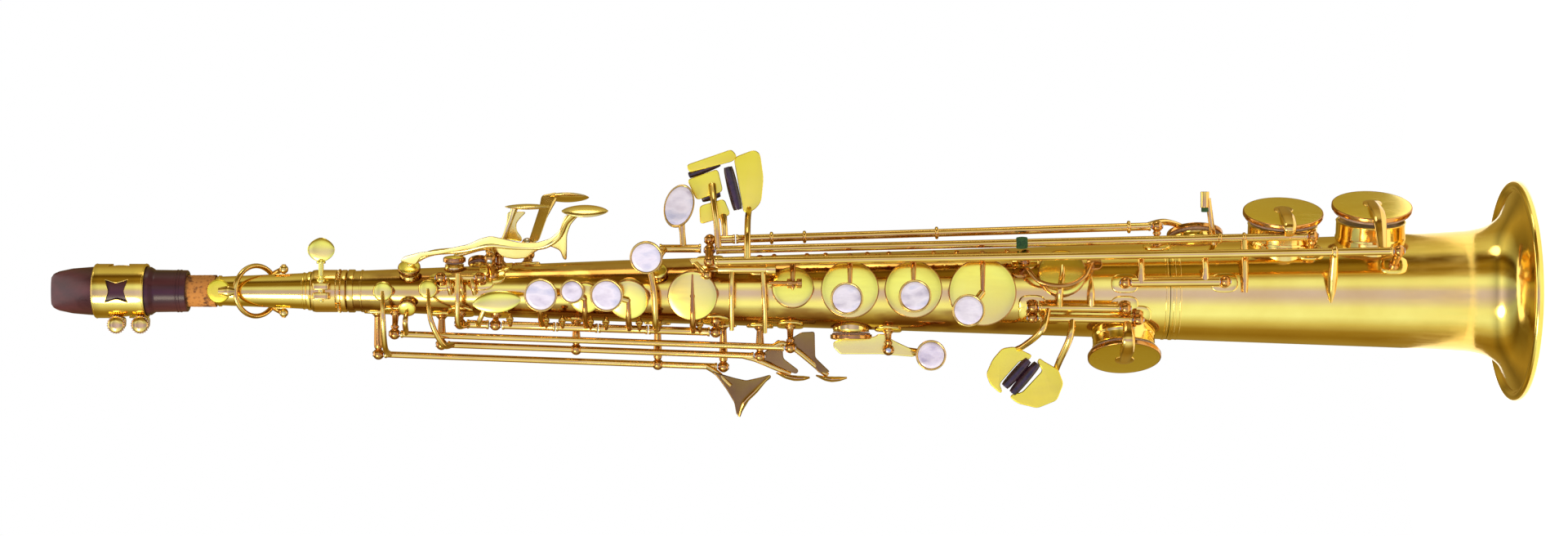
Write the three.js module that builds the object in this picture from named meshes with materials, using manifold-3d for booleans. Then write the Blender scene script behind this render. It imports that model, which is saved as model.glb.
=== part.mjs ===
// A soprano saxophone, standing on its bell.
// Millimetres, +Z up along the bore from the bell mouth (z = 0) to the mouthpiece tip.
// The front, with the two main key stacks, faces -Y. The palm keys, the little-finger table
// and the low B and low B flat cups stand on the +X side, and the side keys on the -X side.
// The thumb hook, the thumb rest and the sling ring are behind, on the +Y side.

import * as THREE from 'three';
import { mergeVertices } from 'three/addons/utils/BufferGeometryUtils.js';
import Module from 'manifold-3d';

const wasm = await Module();
wasm.setup();

// ---------------------------------------------------------------- driving dimensions

const BODY_TOP = 540; // top of the body tube, under the neck receiver
const BELL_SEAM = 163; // where the body tube meets the bell
const RIM_RADIUS = 50.9; // outside of the rolled bell rim
const WALL = 1; // wall of the body tube and the bell
const TUBE_SIDES = 24;
const GAP = 0.3; // air between two pieces that touch

// outside radius of the body and the bell, [height, radius]
const BODY_OUTLINE = [
  [BODY_TOP, 9.2],
  [414, 14.2],
  [158, 22.5],
  [98, 24.7],
  [45, 26.6],
  [30, 27.5],
  [22, 28.2],
  [14, 30.4],
  [8, 34.8],
  [4.5, 40.6],
  [2.4, 46],
];

const FLARE_TOP = 20; // below this the bell wall turns out towards the rim
const RECEIVER_TOP = 556.6;
const RECEIVER_RADIUS = 9.8;
const CLAMP_Y = -12.4; // axis of the clamp screw, in front of the receiver
const CLAMP_Z = 550.9;
const NECK_TOP = 613;
const NECK_RADIUS_LOW = 8.2;
const NECK_RADIUS_TOP = 6.1;
const CORK_BOTTOM = 601;
const CORK_RADIUS = 7.4;
const MOUTHPIECE_BOTTOM = 614;
const MOUTHPIECE_TIP = 678.5;
const TABLE_Y = 7.4; // the reed's flat table, behind the mouthpiece
const BEAK_DROP = 13; // fall of the beak towards the tip
const LIGATURE_LOW = 632.7;
const LIGATURE_TOP = 656.5;
const SCREW_X = -15.4;
const SCREW_HEIGHTS = [646, 635];

const CHIMNEY_RISE = 1.2; // tone hole rim above the tube, on the two stacks
const PAD_THICKNESS = 1.2;
const CUP_THICKNESS = 2.6;
const TUBE_RADIUS = 1.7; // hinge tube of a key
const BALL_RADIUS = 2.5; // head of a post
const ARM_RADIUS = 1.25;
const PEARL_HEIGHT = 1.5;
const HOLDER_FLOOR = 1.2; // metal under a pearl
const TOUCH_THICKNESS = 2; // flat finger plates
const OPEN_ANGLE = 8; // how far a key stands open at rest, degrees
const PAD_INSET = 0.6; // the pad is this much smaller than its cup

// ---------------------------------------------------------------- materials

const LACQUER = { color: 0xd9a93c, metalness: 1, roughness: 0.22 };
const DARK_LACQUER = { color: 0xb98427, metalness: 1, roughness: 0.26 };
const EBONITE = { color: 0x3a2224, metalness: 0, roughness: 0.35 };
const ROLLER = { color: 0x2a1418, metalness: 0, roughness: 0.3 };
const SHELL = { color: 0xe8e2ec, metalness: 0, roughness: 0.25 };
const LEATHER = { color: 0xb98a58, metalness: 0, roughness: 0.7 };
const CORK_LOOK = { color: 0xb5692c, metalness: 0, roughness: 0.9 };
const CANE = { color: 0xe2c489, metalness: 0, roughness: 0.7 };

const saxophone = new THREE.Group();

function addPiece(name, look, solid) {
  const piece = new THREE.Mesh(geometryOf(solid), new THREE.MeshStandardMaterial(look));
  piece.name = name;
  saxophone.add(piece);
}

// ---------------------------------------------------------------- solids

function solidOf(geometry) {
  const bare = geometry.clone();
  bare.deleteAttribute('normal');
  bare.deleteAttribute('uv');
  const merged = mergeVertices(bare, 1e-4);
  const mesh = { numProp: 3, vertProperties: merged.attributes.position.array };
  mesh.triVerts = new Uint32Array(merged.index.array);
  const solid = new wasm.Manifold(new wasm.Mesh(mesh));
  if (solid.volume() > 0) return solid;
  mesh.triVerts.reverse();
  return new wasm.Manifold(new wasm.Mesh(mesh));
}

function geometryOf(solid) {
  const mesh = solid.getMesh();
  const geometry = new THREE.BufferGeometry();
  const position = new THREE.BufferAttribute(new Float32Array(mesh.vertProperties), 3);
  geometry.setAttribute('position', position);
  geometry.setIndex([...mesh.triVerts]);
  geometry.computeVertexNormals();
  return geometry;
}

function join(solids) {
  return solids.reduce((whole, solid) => whole.add(solid));
}

// ---------------------------------------------------------------- places round the bore

const radians = THREE.MathUtils.degToRad;

function bodyRadius(z) {
  const last = BODY_OUTLINE.length - 1;
  let i = 1;
  while (i < last && z < BODY_OUTLINE[i][0]) i += 1;
  const [z0, r0] = BODY_OUTLINE[i - 1];
  const [z1, r1] = BODY_OUTLINE[i];
  return THREE.MathUtils.mapLinear(z, z0, z1, r0, r1);
}

// directions at an angle round the bore: 0 is the front (-Y) and 90 is +X
const outward = (angle) => new THREE.Vector3(Math.sin(radians(angle)), -Math.cos(radians(angle)), 0);
const point = (x, y, z) => new THREE.Vector3(x, y, z);

// a point that stands `lift` above the tube
function above(z, angle, lift) {
  return outward(angle).multiplyScalar(bodyRadius(z) + lift).setZ(z);
}

// the straight axis of a hinge that follows the tube
function hingeLine(zTop, zBottom, angle, lift) {
  return new THREE.Line3(above(zTop, angle, lift), above(zBottom, angle, lift));
}

function pointOn(line, z) {
  return line.at((z - line.start.z) / (line.end.z - line.start.z), new THREE.Vector3());
}

// ---------------------------------------------------------------- simple shapes

function turned(profile, sides = 20) {
  const points = profile.map(([r, z]) => new THREE.Vector2(r, z));
  return solidOf(new THREE.LatheGeometry(points, sides).rotateX(Math.PI / 2));
}

// turn a solid made along +Z so that it stands at `origin` and points along `direction`
function placed(solid, origin, direction) {
  const turn = new THREE.Quaternion().setFromUnitVectors(point(0, 0, 1), direction.clone().normalize());
  const matrix = new THREE.Matrix4().compose(origin, turn, point(1, 1, 1));
  return solid.transform(matrix.elements);
}

function rod(from, to, radius, sides = 6) {
  const length = from.distanceTo(to);
  const bar = new THREE.CylinderGeometry(radius, radius, length, sides);
  bar.rotateX(Math.PI / 2).translate(0, 0, length / 2);
  return placed(solidOf(bar), from, to.clone().sub(from));
}

function ball(centre, radius) {
  return solidOf(new THREE.SphereGeometry(radius, 6, 4).translate(centre.x, centre.y, centre.z));
}

// a round arm that runs smoothly through the points
function arm(points, radius = ARM_RADIUS, steps = 2) {
  const section = new THREE.Shape().absarc(0, 0, radius, 0, Math.PI * 2);
  const path = new THREE.CatmullRomCurve3(points, false, 'centripetal');
  const settings = { extrudePath: path, steps: steps * (points.length - 1), curveSegments: 3 };
  return solidOf(new THREE.ExtrudeGeometry(section, settings));
}

// a flat plate with rounded corners; `corners` are [x, z] and its front face is at y
function frontPlate(corners, y, rounding = 2) {
  const shape = new THREE.Shape();
  corners.forEach(([x, z], i) => {
    const corner = new THREE.Vector2(x, z);
    const before = new THREE.Vector2(...corners[(i + corners.length - 1) % corners.length]);
    const after = new THREE.Vector2(...corners[(i + 1) % corners.length]);
    const [enter, leave] = [before, after].map((neighbour) => {
      const edge = neighbour.clone().sub(corner);
      return corner.clone().add(edge.setLength(Math.min(rounding, edge.length() * 0.45)));
    });
    if (i === 0) shape.moveTo(enter.x, enter.y);
    else shape.lineTo(enter.x, enter.y);
    shape.quadraticCurveTo(x, z, leave.x, leave.y);
  });
  const settings = { depth: TOUCH_THICKNESS, bevelEnabled: false, curveSegments: 3 };
  const plate = new THREE.ExtrudeGeometry(shape, settings);
  plate.rotateX(Math.PI / 2).translate(0, y + TOUCH_THICKNESS, 0);
  return solidOf(plate);
}

// a flattened touch, round in outline, lying across `direction`
function spatula(centre, direction, halfLength, halfWidth, halfThickness) {
  const shape = new THREE.SphereGeometry(1, 8, 6).scale(halfWidth, halfThickness, halfLength);
  return placed(solidOf(shape), centre, direction);
}

// ---------------------------------------------------------------- tone holes and posts

const toneHoles = [];
const posts = [];

function addToneHole(z, angle, radius, rise = CHIMNEY_RISE) {
  toneHoles.push({ z, angle, radius, rise });
}

function addPost(line, z) {
  posts.push(pointOn(line, z));
}

// join the chimneys and posts that stand between two heights to a tube, and bore the holes
function fitOut(tube, low, high) {
  const within = (z) => z > low && z < high;
  const chimneys = toneHoles.filter((hole) => within(hole.z));
  const sprouts = chimneys.map((hole) => {
    const foot = outward(hole.angle).multiplyScalar(bodyRadius(hole.z) - WALL - 3).setZ(hole.z);
    return rod(foot, above(hole.z, hole.angle, hole.rise), hole.radius, 12);
  });
  const bores = chimneys.map((hole) => {
    const foot = outward(hole.angle).multiplyScalar(bodyRadius(hole.z) * 0.6).setZ(hole.z);
    return rod(foot, above(hole.z, hole.angle, hole.rise + 1), hole.radius - WALL, 12);
  });
  const inside = turned(boreProfile(low - 1, high + 1), TUBE_SIDES);
  const standing = posts
    .filter((head) => within(head.z))
    .map((head) => {
      const angle = THREE.MathUtils.radToDeg(Math.atan2(head.x, -head.y));
      const foot = outward(angle).multiplyScalar(bodyRadius(head.z) - WALL / 2).setZ(head.z);
      return join([rod(foot, head, 1.3, 5), ball(head, BALL_RADIUS)]);
    });
  const whole = join([tube, ...sprouts]).subtract(inside);
  return join([bores.reduce((body, bore) => body.subtract(bore), whole), ...standing]);
}

function boreProfile(low, high) {
  const tube = BODY_OUTLINE.filter(([z]) => z > FLARE_TOP).map(([z, r]) => [r - WALL, z]);
  const flare = BODY_OUTLINE.filter(([z]) => z <= FLARE_TOP).map(([z, r]) => [
    r - WALL * 0.8,
    z - WALL * 0.9,
  ]);
  const ring = [...tube, ...flare].filter(([, z]) => z > low && z < high);
  const bottom = low < 0 ? [RIM_RADIUS - 3.9, low] : [bodyRadius(low) - WALL, low];
  return [[0, high], [bodyRadius(high) - WALL, high], ...ring, bottom, [0, low]];
}

// ---------------------------------------------------------------- key parts

// the cup over a tone hole, shut; the pad is a second solid below it
function cupAt(z, angle, radius, rise) {
  const origin = above(z, angle, rise + PAD_THICKNESS + 2 * GAP);
  const shell = turned(
    [
      [0, 0],
      [radius, 0],
      [radius, CUP_THICKNESS * 0.55],
      [radius * 0.82, CUP_THICKNESS * 0.9],
      [0, CUP_THICKNESS],
    ],
    16,
  );
  return placed(shell, origin, outward(angle));
}

function padAt(z, angle, radius, rise) {
  const disc = turned(
    [
      [0, 0],
      [radius - PAD_INSET, 0],
      [radius - PAD_INSET, PAD_THICKNESS],
      [0, PAD_THICKNESS],
    ],
    16,
  );
  return placed(disc, above(z, angle, rise + GAP), outward(angle));
}

// a cup whose pad is one piece with it, for the small keys
function padCupAt(z, angle, radius, rise = CHIMNEY_RISE) {
  const height = PAD_THICKNESS + CUP_THICKNESS;
  const profile = [
    [0, 0],
    [radius - PAD_INSET, 0],
    [radius, PAD_THICKNESS],
    [radius, height * 0.7],
    [radius * 0.75, height],
    [0, height],
  ];
  return placed(turned(profile, 12), above(z, angle, rise + GAP), outward(angle));
}

function pearlHolder(centre, direction, radius) {
  const profile = [
    [0, 0],
    [radius, 0],
    [radius, HOLDER_FLOOR + 0.9],
    [radius - 0.9, HOLDER_FLOOR + 0.9],
    [radius - 0.9, HOLDER_FLOOR],
    [0, HOLDER_FLOOR],
  ];
  return placed(turned(profile, 12), centre, direction);
}

function pearlDisc(centre, direction, radius) {
  const rim = radius - 0.9 - GAP;
  const profile = [
    [0, 0],
    [rim, 0],
    [rim, PEARL_HEIGHT * 0.7],
    [0, PEARL_HEIGHT],
  ];
  const origin = centre.clone().addScaledVector(direction, HOLDER_FLOOR + GAP);
  return placed(turned(profile, 12), origin, direction);
}

// turn a piece of a key about its hinge, from shut to where it rests
function swung(solid, line, degrees) {
  const axis = line.delta(new THREE.Vector3()).normalize();
  const there = new THREE.Matrix4().makeTranslation(line.start);
  const back = new THREE.Matrix4().makeTranslation(line.start.clone().negate());
  const turn = new THREE.Matrix4().makeRotationAxis(axis, radians(degrees));
  return solid.transform(there.multiply(turn).multiply(back).elements);
}

function barrel(line, zTop, zBottom, radius = TUBE_RADIUS) {
  return rod(pointOn(line, zTop), pointOn(line, zBottom), radius);
}

// the arm that comes up beside a cup from its hinge tube and runs over to the crown
function cupArm(line, hole, crownLift, radius = ARM_RADIUS) {
  const hinge = pointOn(line, hole.z);
  const across = point(Math.cos(radians(hole.angle)), Math.sin(radians(hole.angle)), 0);
  const side = Math.sign(hinge.dot(across));
  const beside = above(hole.z, hole.angle, crownLift - 1.6);
  beside.addScaledVector(across, side * (hole.radius + radius + 0.4));
  const over = above(hole.z, hole.angle, crownLift + 0.8);
  over.addScaledVector(across, side * hole.radius * 0.7);
  return arm([hinge, beside, over, above(hole.z, hole.angle, crownLift)], radius);
}

// ---------------------------------------------------------------- hinge lines

const LEFT_STACK = hingeLine(488, 370, -60, 6);
const RIGHT_STACK = hingeLine(350, 229, 42, 4.6);
const LOW_C_SHARP_LINE = hingeLine(373, 168, 70, 9.5);
const LOW_B_LINE = new THREE.Line3(above(373, 50, 9), above(99, 45.5, 10.4));
const LOW_B_FLAT_LINE = hingeLine(373, 62, 27, 14.2);
const SIDE_B_FLAT_LINE = hingeLine(518, 336, -70, 10.8);
const SIDE_C_LINE = hingeLine(497, 350, -85, 13.8);
const HIGH_E_LINE = hingeLine(527, 367, -100, 20);
const E_FLAT_LINE = hingeLine(226, 184, -17, 4.6);
const LOW_C_LINE = hingeLine(226, 180, -29, 4.6);
const FRONT = outward(0);

// ---------------------------------------------------------------- the keys of the left hand

function frontFKey() {
  const touch = spatula(point(-4.8, -24, 469.4), point(0.1, 0, -1), 11, 5, 1.3);
  const stalk = arm([pointOn(LEFT_STACK, 479), point(-14, -19, 478), point(-5.5, -23.7, 474)]);
  const key = join([barrel(LEFT_STACK, 484.5, 474.5), stalk, touch]);
  addPiece('front_F_key', LACQUER, key);
  addPost(LEFT_STACK, 487.6);
  addPost(LEFT_STACK, 471.4);
}

// a stack key: cup, pearl on its holder, arm and hinge tube; it stands open by OPEN_ANGLE
function stackKey(name, line, tube, hole, pearl, swing) {
  addToneHole(hole.z, hole.angle, hole.radius - 1.6);
  const top = CHIMNEY_RISE + PAD_THICKNESS + GAP + CUP_THICKNESS;
  const crown = above(hole.z, hole.angle, top - 0.3);
  const parts = [padCupAt(hole.z, hole.angle, hole.radius), barrel(line, ...tube)];
  parts.push(cupArm(line, hole, top));
  if (pearl) {
    const seat = point(pearl.x, -bodyRadius(pearl.z) - pearl.lift, pearl.z);
    parts.push(pearlHolder(seat, FRONT, pearl.radius));
    const underside = seat.clone().addScaledVector(FRONT, -1.6);
    const end = seat.clone().addScaledVector(FRONT, 0.5);
    parts.push(arm([...(pearl.route ?? [crown]), underside, end], 1.4));
    const disc = swung(pearlDisc(seat, FRONT, pearl.radius), line, swing);
    addPiece(name.replace('_key', '_pearl'), SHELL, disc);
  }
  addPiece(name, LACQUER, swung(join(parts), line, swing));
}

function leftStack() {
  const open = OPEN_ANGLE;
  stackKey(
    'B_key',
    LEFT_STACK,
    [468.3, 444],
    { z: 450, angle: -8, radius: 6.4 },
    { x: 0.4, z: 449.3, lift: 9, radius: 7.6 },
    open,
  );
  stackKey(
    'bis_key',
    LEFT_STACK,
    [443.5, 424.5],
    { z: 429.6, angle: -6, radius: 7.2 },
    { x: 2, z: 435, lift: 8.4, radius: 5.6 },
    open,
  );
  stackKey(
    'A_key',
    LEFT_STACK,
    [424, 401.5],
    { z: 409.8, angle: -8, radius: 9.3 },
    { x: 0.4, z: 419.3, lift: 9, radius: 7.5 },
    open,
  );
  const pearlArm = [pointOn(LEFT_STACK, 397.5), point(-13, -19.5, 397.5), point(2, -23.4, 397.8)];
  stackKey(
    'G_key',
    LEFT_STACK,
    [401, 373],
    { z: 380.5, angle: -2, radius: 11.4 },
    { x: 17.6, z: 401.2, lift: 8, radius: 7.5, route: pearlArm },
    open,
  );
  addPost(LEFT_STACK, 370.3);
}

// the G sharp key: a tall oval pearl on a stalk, and a small cup beyond the stack
const G_SHARP_LINE = new THREE.Line3(point(19.5, -11.5, 396), point(19.5, -11.5, 377));

function gSharpKey() {
  const line = G_SHARP_LINE;
  const facing = point(0.25, -0.97, 0).normalize();
  const seat = point(38.6, -12, 387);
  const tall = (solid) => solid.transform(new THREE.Matrix4().makeScale(0.62, 1, 1).elements);
  const holder = [[0, 0], [9.8, 0], [10.3, 0.6], [10.3, 1.9], [9.2, 1.9], [9.2, 1], [0, 1]];
  const disc = [[0, 0], [8.7, 0], [8.7, 0.9], [6, 1.4], [0, 1.5]];
  const upright = (solid) => placed(tall(solid).rotate([0, 0, 90]), seat, facing);
  const hole = { z: 396.4, angle: 30, radius: 4.2 };
  addToneHole(hole.z, hole.angle, hole.radius - 1);
  const crown = above(hole.z, hole.angle, CHIMNEY_RISE + 3.2);
  const key = join([
    rod(line.start, line.end, TUBE_RADIUS, 6),
    arm([point(19.5, -11.5, 385), point(27, -11.5, 385.6), seat.clone().addScaledVector(facing, -0.6)]),
    upright(turned(holder, 22)),
    padCupAt(hole.z, hole.angle, hole.radius),
    arm([point(19.5, -11.5, 393), point(16.5, -16.5, 395), crown], 1.1),
  ]);
  addPiece('G_sharp_key', LACQUER, key);
  const raised = disc.map(([r, z]) => [r, z + 1 + GAP]);
  addPiece('G_sharp_pearl', SHELL, upright(turned(raised, 20)));
}

// ---------------------------------------------------------------- the little-finger table

const TABLE_FACE = -6.5; // front of the little-finger table

function lowCSharpKey() {
  const line = LOW_C_SHARP_LINE;
  const corners = [[39.1, 378], [42.5, 366.5], [35, 363.5], [30.6, 377.6]];
  const touch = frontPlate(corners, TABLE_FACE);
  const stalk = arm([pointOn(line, 366), point(31, -8, 366.5), point(34.5, -5.8, 367)]);
  addPiece('low_C_sharp_lever', LACQUER, join([barrel(line, 370, 361.5), touch, stalk]));

  const hole = { z: 148, angle: 112, radius: 13 };
  const rise = 3;
  addToneHole(hole.z, hole.angle, hole.radius - 1.8, rise);
  const crown = above(hole.z, hole.angle, rise + 4);
  const reach = arm([pointOn(line, 174), above(163, 90, 9.5), crown]);
  const cup = padCupAt(hole.z, hole.angle, hole.radius, rise);
  addPiece('low_C_sharp_key', LACQUER, join([barrel(line, 361, 171), cup, reach]));
  addPost(line, 373);
  addPost(line, 168);
}

// a low key whose big cup stands open on a tall chimney beside its long hinge tube
function lowKey(name, line, tube, hole, swing, extras) {
  addToneHole(hole.z, hole.angle, hole.radius - 2.6, hole.rise);
  const lift = hole.rise + PAD_THICKNESS + 2 * GAP + CUP_THICKNESS;
  const cup = cupAt(hole.z, hole.angle, hole.radius, hole.rise);
  const parts = [barrel(line, ...tube), cup, cupArm(line, hole, lift, 1.5)];
  addPiece(name, LACQUER, join([swung(join(parts), line, swing), ...extras]));
  const pad = padAt(hole.z, hole.angle, hole.radius, hole.rise);
  addPiece(name.replace('_key', '_pad'), LEATHER, swung(pad, line, swing));
}

function lowBKey() {
  const line = LOW_B_LINE;
  const corners = [[51.2, 383.6], [56.2, 369.4], [45.8, 367], [41.7, 379.3]];
  const touch = frontPlate(corners, TABLE_FACE);
  const hole = { z: 110, angle: 76, radius: 18.4, rise: 7.6 };
  const root = pointOn(line, 369);
  const stalk = arm([root, point(29, -17, 369.6), point(40, -12.6, 371), point(48.5, -5.8, 372)]);
  lowKey('low_B_key', line, [370, 101.8], hole, OPEN_ANGLE, [touch, stalk]);
  addPost(line, 373);
  addPost(line, 99);
}

function lowBFlatKey() {
  const line = LOW_B_FLAT_LINE;
  const right = [
    [61.4, 362.2],
    [65, 352.8],
    [63.3, 350],
    [52, 348.4],
    [40.8, 349.5],
    [36.9, 353],
    [35.6, 357.6],
  ];
  const top = [[58, 383.9], [65.2, 363.1], [62, 360.5], [59.6, 362.5], [54.4, 382.6]];
  const plate = (corners) => frontPlate(corners, TABLE_FACE, 1.2);
  const stalk = arm([
    pointOn(line, 355.6),
    point(25, -24.5, 355.6),
    point(37, -14, 355.4),
    point(48, -5.8, 354),
  ]);
  const touch = join([plate(right), plate(top), stalk]);
  const hole = { z: 69.5, angle: 76, radius: 18.4, rise: 7.6 };
  lowKey('low_B_flat_key', line, [370, 65], hole, OPEN_ANGLE, [touch]);
  addPost(line, 373);
  addPost(line, 62);
}

// rollers lie between the touches, each turning on its own pin; `ends` are [x, z]
const ROLLERS = [
  { name: 'table_roller_long', from: [57, 364.8], to: [37.4, 360.2], y: -5.6, radius: 1.9 },
  { name: 'table_roller_top', from: [53.2, 382.8], to: [58.8, 368.6], y: -3.2, radius: 1.3 },
  { name: 'table_roller_middle', from: [42.6, 377], to: [45.2, 368.6], y: -1.6, radius: 1.6 },
  { name: 'E_flat_roller', from: [-31.3, 227.5], to: [-43.5, 238.3], y: -16.4, radius: 1.7 },
  { name: 'low_C_roller', from: [-33, 223.4], to: [-46.5, 234.8], y: -16.4, radius: 1.7 },
];

function roller({ from, to, y, radius }) {
  const start = point(from[0], y, from[1]);
  const end = point(to[0], y, to[1]);
  const half = start.distanceTo(end) / 2;
  const barrelShape = [
    [0, -half],
    [radius * 0.75, -half],
    [radius, -half * 0.4],
    [radius, half * 0.4],
    [radius * 0.75, half],
    [0, half],
  ];
  return placed(turned(barrelShape, 12), start.clone().lerp(end, 0.5), end.clone().sub(start));
}

function rollers() {
  ROLLERS.forEach((piece) => addPiece(piece.name, ROLLER, roller(piece)));
}

// ---------------------------------------------------------------- palm keys

const PALM_PIN_HALF = 2.6;
const PALM_POST_REACH = 5.4; // from the lever to each of its two posts

// a palm lever rocks in the plane that holds the bore and its own angle
function palmKey(name, angle, pivot, cup, touch, route) {
  const flat = (z, lift) => outward(angle).multiplyScalar(lift).setZ(z);
  const across = point(Math.cos(radians(angle)), Math.sin(radians(angle)), 0);
  const centre = flat(pivot.z, pivot.r);
  const pin = [-PALM_PIN_HALF, PALM_PIN_HALF].map((reach) => centre.clone().addScaledVector(across, reach));
  addToneHole(cup.z, angle, cup.radius - 1);
  const points = route.map(([z, r]) => flat(z, r));
  const paddle = new THREE.SphereGeometry(1, 8, 6).scale(4.2, 1.3, touch.length / 2);
  const lean = new THREE.Matrix4().makeBasis(across, outward(angle), point(0, 0, -1));
  paddle.applyMatrix4(lean).translate(...flat(touch.z, touch.r).toArray());
  const key = join([
    rod(pin[0], pin[1], 1.9, 8),
    padCupAt(cup.z, angle, cup.radius),
    arm([above(cup.z, angle, CHIMNEY_RISE + 3.6), ...points], 1.5),
    solidOf(paddle),
  ]);
  addPiece(name, LACQUER, key);
  for (const side of [-1, 1]) {
    posts.push(centre.clone().addScaledVector(across, side * PALM_POST_REACH));
  }
}

function palmKeys() {
  palmKey(
    'palm_F_key',
    50,
    { z: 473, r: 24 },
    { z: 511, radius: 5.2 },
    { z: 430, r: 46, length: 22 },
    [[495, 22], [473, 24], [452, 28], [440, 38], [434, 45.6]],
  );
  palmKey(
    'palm_E_flat_key',
    84,
    { z: 470, r: 21 },
    { z: 491, radius: 5.2 },
    { z: 457, r: 39, length: 21 },
    [[480, 19.6], [470, 21.5], [466, 30], [463, 38.6]],
  );
  palmKey(
    'palm_D_key',
    118,
    { z: 458, r: 22 },
    { z: 480, radius: 5.6 },
    { z: 441, r: 47, length: 21 },
    [[468, 20.6], [458, 22.5], [453, 34], [447, 46.6]],
  );
}

// ---------------------------------------------------------------- the keys of the right hand

function rightStack() {
  const open = -OPEN_ANGLE;
  stackKey('F_sharp_helper_key', RIGHT_STACK, [347, 325], { z: 335, angle: 3, radius: 9.6 }, null, open);
  stackKey(
    'F_key',
    RIGHT_STACK,
    [324.5, 296.5],
    { z: 309, angle: 0, radius: 13.2 },
    { x: -4.9, z: 310.5, lift: 8.4, radius: 7.4 },
    open,
  );
  stackKey(
    'E_key',
    RIGHT_STACK,
    [296, 266],
    { z: 280.2, angle: 0, radius: 13.1 },
    { x: -3.8, z: 279.7, lift: 8.4, radius: 7.4 },
    open,
  );
  stackKey(
    'D_key',
    RIGHT_STACK,
    [265.5, 232],
    { z: 248.9, angle: -3, radius: 15.4 },
    { x: -10.4, z: 255.6, lift: 8.2, radius: 7.4 },
    open,
  );
  addPost(RIGHT_STACK, 350);
  addPost(RIGHT_STACK, 229);
}

const LITTLE_FINGER_FACE = -17; // front of the two right-hand touches

function eFlatKey() {
  const line = E_FLAT_LINE;
  const hole = { z: 212.6, angle: 20, radius: 11 };
  addToneHole(hole.z, hole.angle, hole.radius - 1.6);
  const crown = above(hole.z, hole.angle, CHIMNEY_RISE + 3.6);
  const corners = [[-31.3, 245.4], [-26.6, 240], [-26, 231], [-28.5, 229.4], [-41.6, 241.4], [-39.5, 246]];
  const plate = frontPlate(corners, LITTLE_FINGER_FACE);
  const key = join([
    barrel(line, 223, 187),
    padCupAt(hole.z, hole.angle, hole.radius),
    arm([pointOn(line, hole.z), above(hole.z, 0, 8.2), crown], 1.5),
    plate,
    arm([pointOn(line, 219), point(-17, -27, 222), point(-26.6, -19, 231), point(-31, -16, 236)], 1.4),
  ]);
  addPiece('E_flat_key', LACQUER, key);
  addPost(line, 226);
  addPost(line, 184);
}

function lowCKey() {
  const line = LOW_C_LINE;
  const hole = { z: 183, angle: -72, radius: 16.8, rise: 5.2 };
  const corners = [
    [-34.3, 220.5],
    [-48.6, 233],
    [-53.5, 226],
    [-51.8, 215.8],
    [-43.9, 211.3],
    [-35.7, 212.8],
  ];
  const touch = frontPlate(corners, LITTLE_FINGER_FACE, 3);
  const path = [pointOn(line, 208), point(-20, -24.8, 209), point(-32, -18.4, 215), point(-38, -16, 218)];
  const stalk = arm(path, 1.5);
  lowKey('low_C_key', line, [223, 181], hole, -OPEN_ANGLE, [touch, stalk]);
  addPost(line, 226);
  addPost(line, 178);
}

// ---------------------------------------------------------------- side keys

function sideKey(name, line, tube, cup, route, touchSolids) {
  addToneHole(cup.z, cup.angle, cup.radius - 1);
  const crown = above(cup.z, cup.angle, CHIMNEY_RISE + 3.4);
  const parts = [barrel(line, ...tube, 1.5), padCupAt(cup.z, cup.angle, cup.radius)];
  const path = [crown, ...route.map(([x, y, z]) => point(x, y, z)), pointOn(line, tube[0] - 2.5)];
  const key = join([...parts, arm(path, 1.2), ...touchSolids]);
  addPiece(name, LACQUER, key);
  addPost(line, tube[0] + 2.9);
  addPost(line, tube[1] - 2.9);
}

// a side touch: a web that drops from the hinge tube to a flat foot turned along the body
function sideTouch(line, z, foot) {
  const root = pointOn(line, z);
  const knee = point(root.x - 5, root.y + 1.5, z - 6);
  const web = arm([root, knee, point(foot.x, foot.y, foot.z + 6)], 1.5);
  const pad = new THREE.SphereGeometry(1, 8, 6).scale(1.3, 4.6, 8);
  pad.translate(foot.x, foot.y, foot.z);
  return join([web, solidOf(pad)]);
}

function sideKeys() {
  sideKey(
    'high_E_key',
    HIGH_E_LINE,
    [524, 370],
    { z: 522.5, angle: 0, radius: 4.6 },
    [[-12, -17, 522], [-26, -9, 522]],
    [
      arm([pointOn(HIGH_E_LINE, 375), point(-40, 4.4, 371), point(-46, 3, 365), point(-58, 1, 359.3)], 2),
      arm([point(-45.7, 3.2, 365), point(-43, 2, 356), point(-40.6, 0, 351)], 2),
    ],
  );
  sideKey(
    'side_C_key',
    SIDE_C_LINE,
    [494, 353],
    { z: 501.7, angle: 4, radius: 4.5 },
    [[-13, -18.6, 500], [-24.6, -12.6, 495]],
    [sideTouch(SIDE_C_LINE, 358, { x: -39.2, y: -1, z: 335 })],
  );
  sideKey(
    'side_B_flat_key',
    SIDE_B_FLAT_LINE,
    [515, 339],
    { z: 511.6, angle: -34, radius: 4.2 },
    [[-14, -16, 512]],
    [sideTouch(SIDE_B_FLAT_LINE, 344, { x: -39.4, y: -4, z: 317 })],
  );
}

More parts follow.
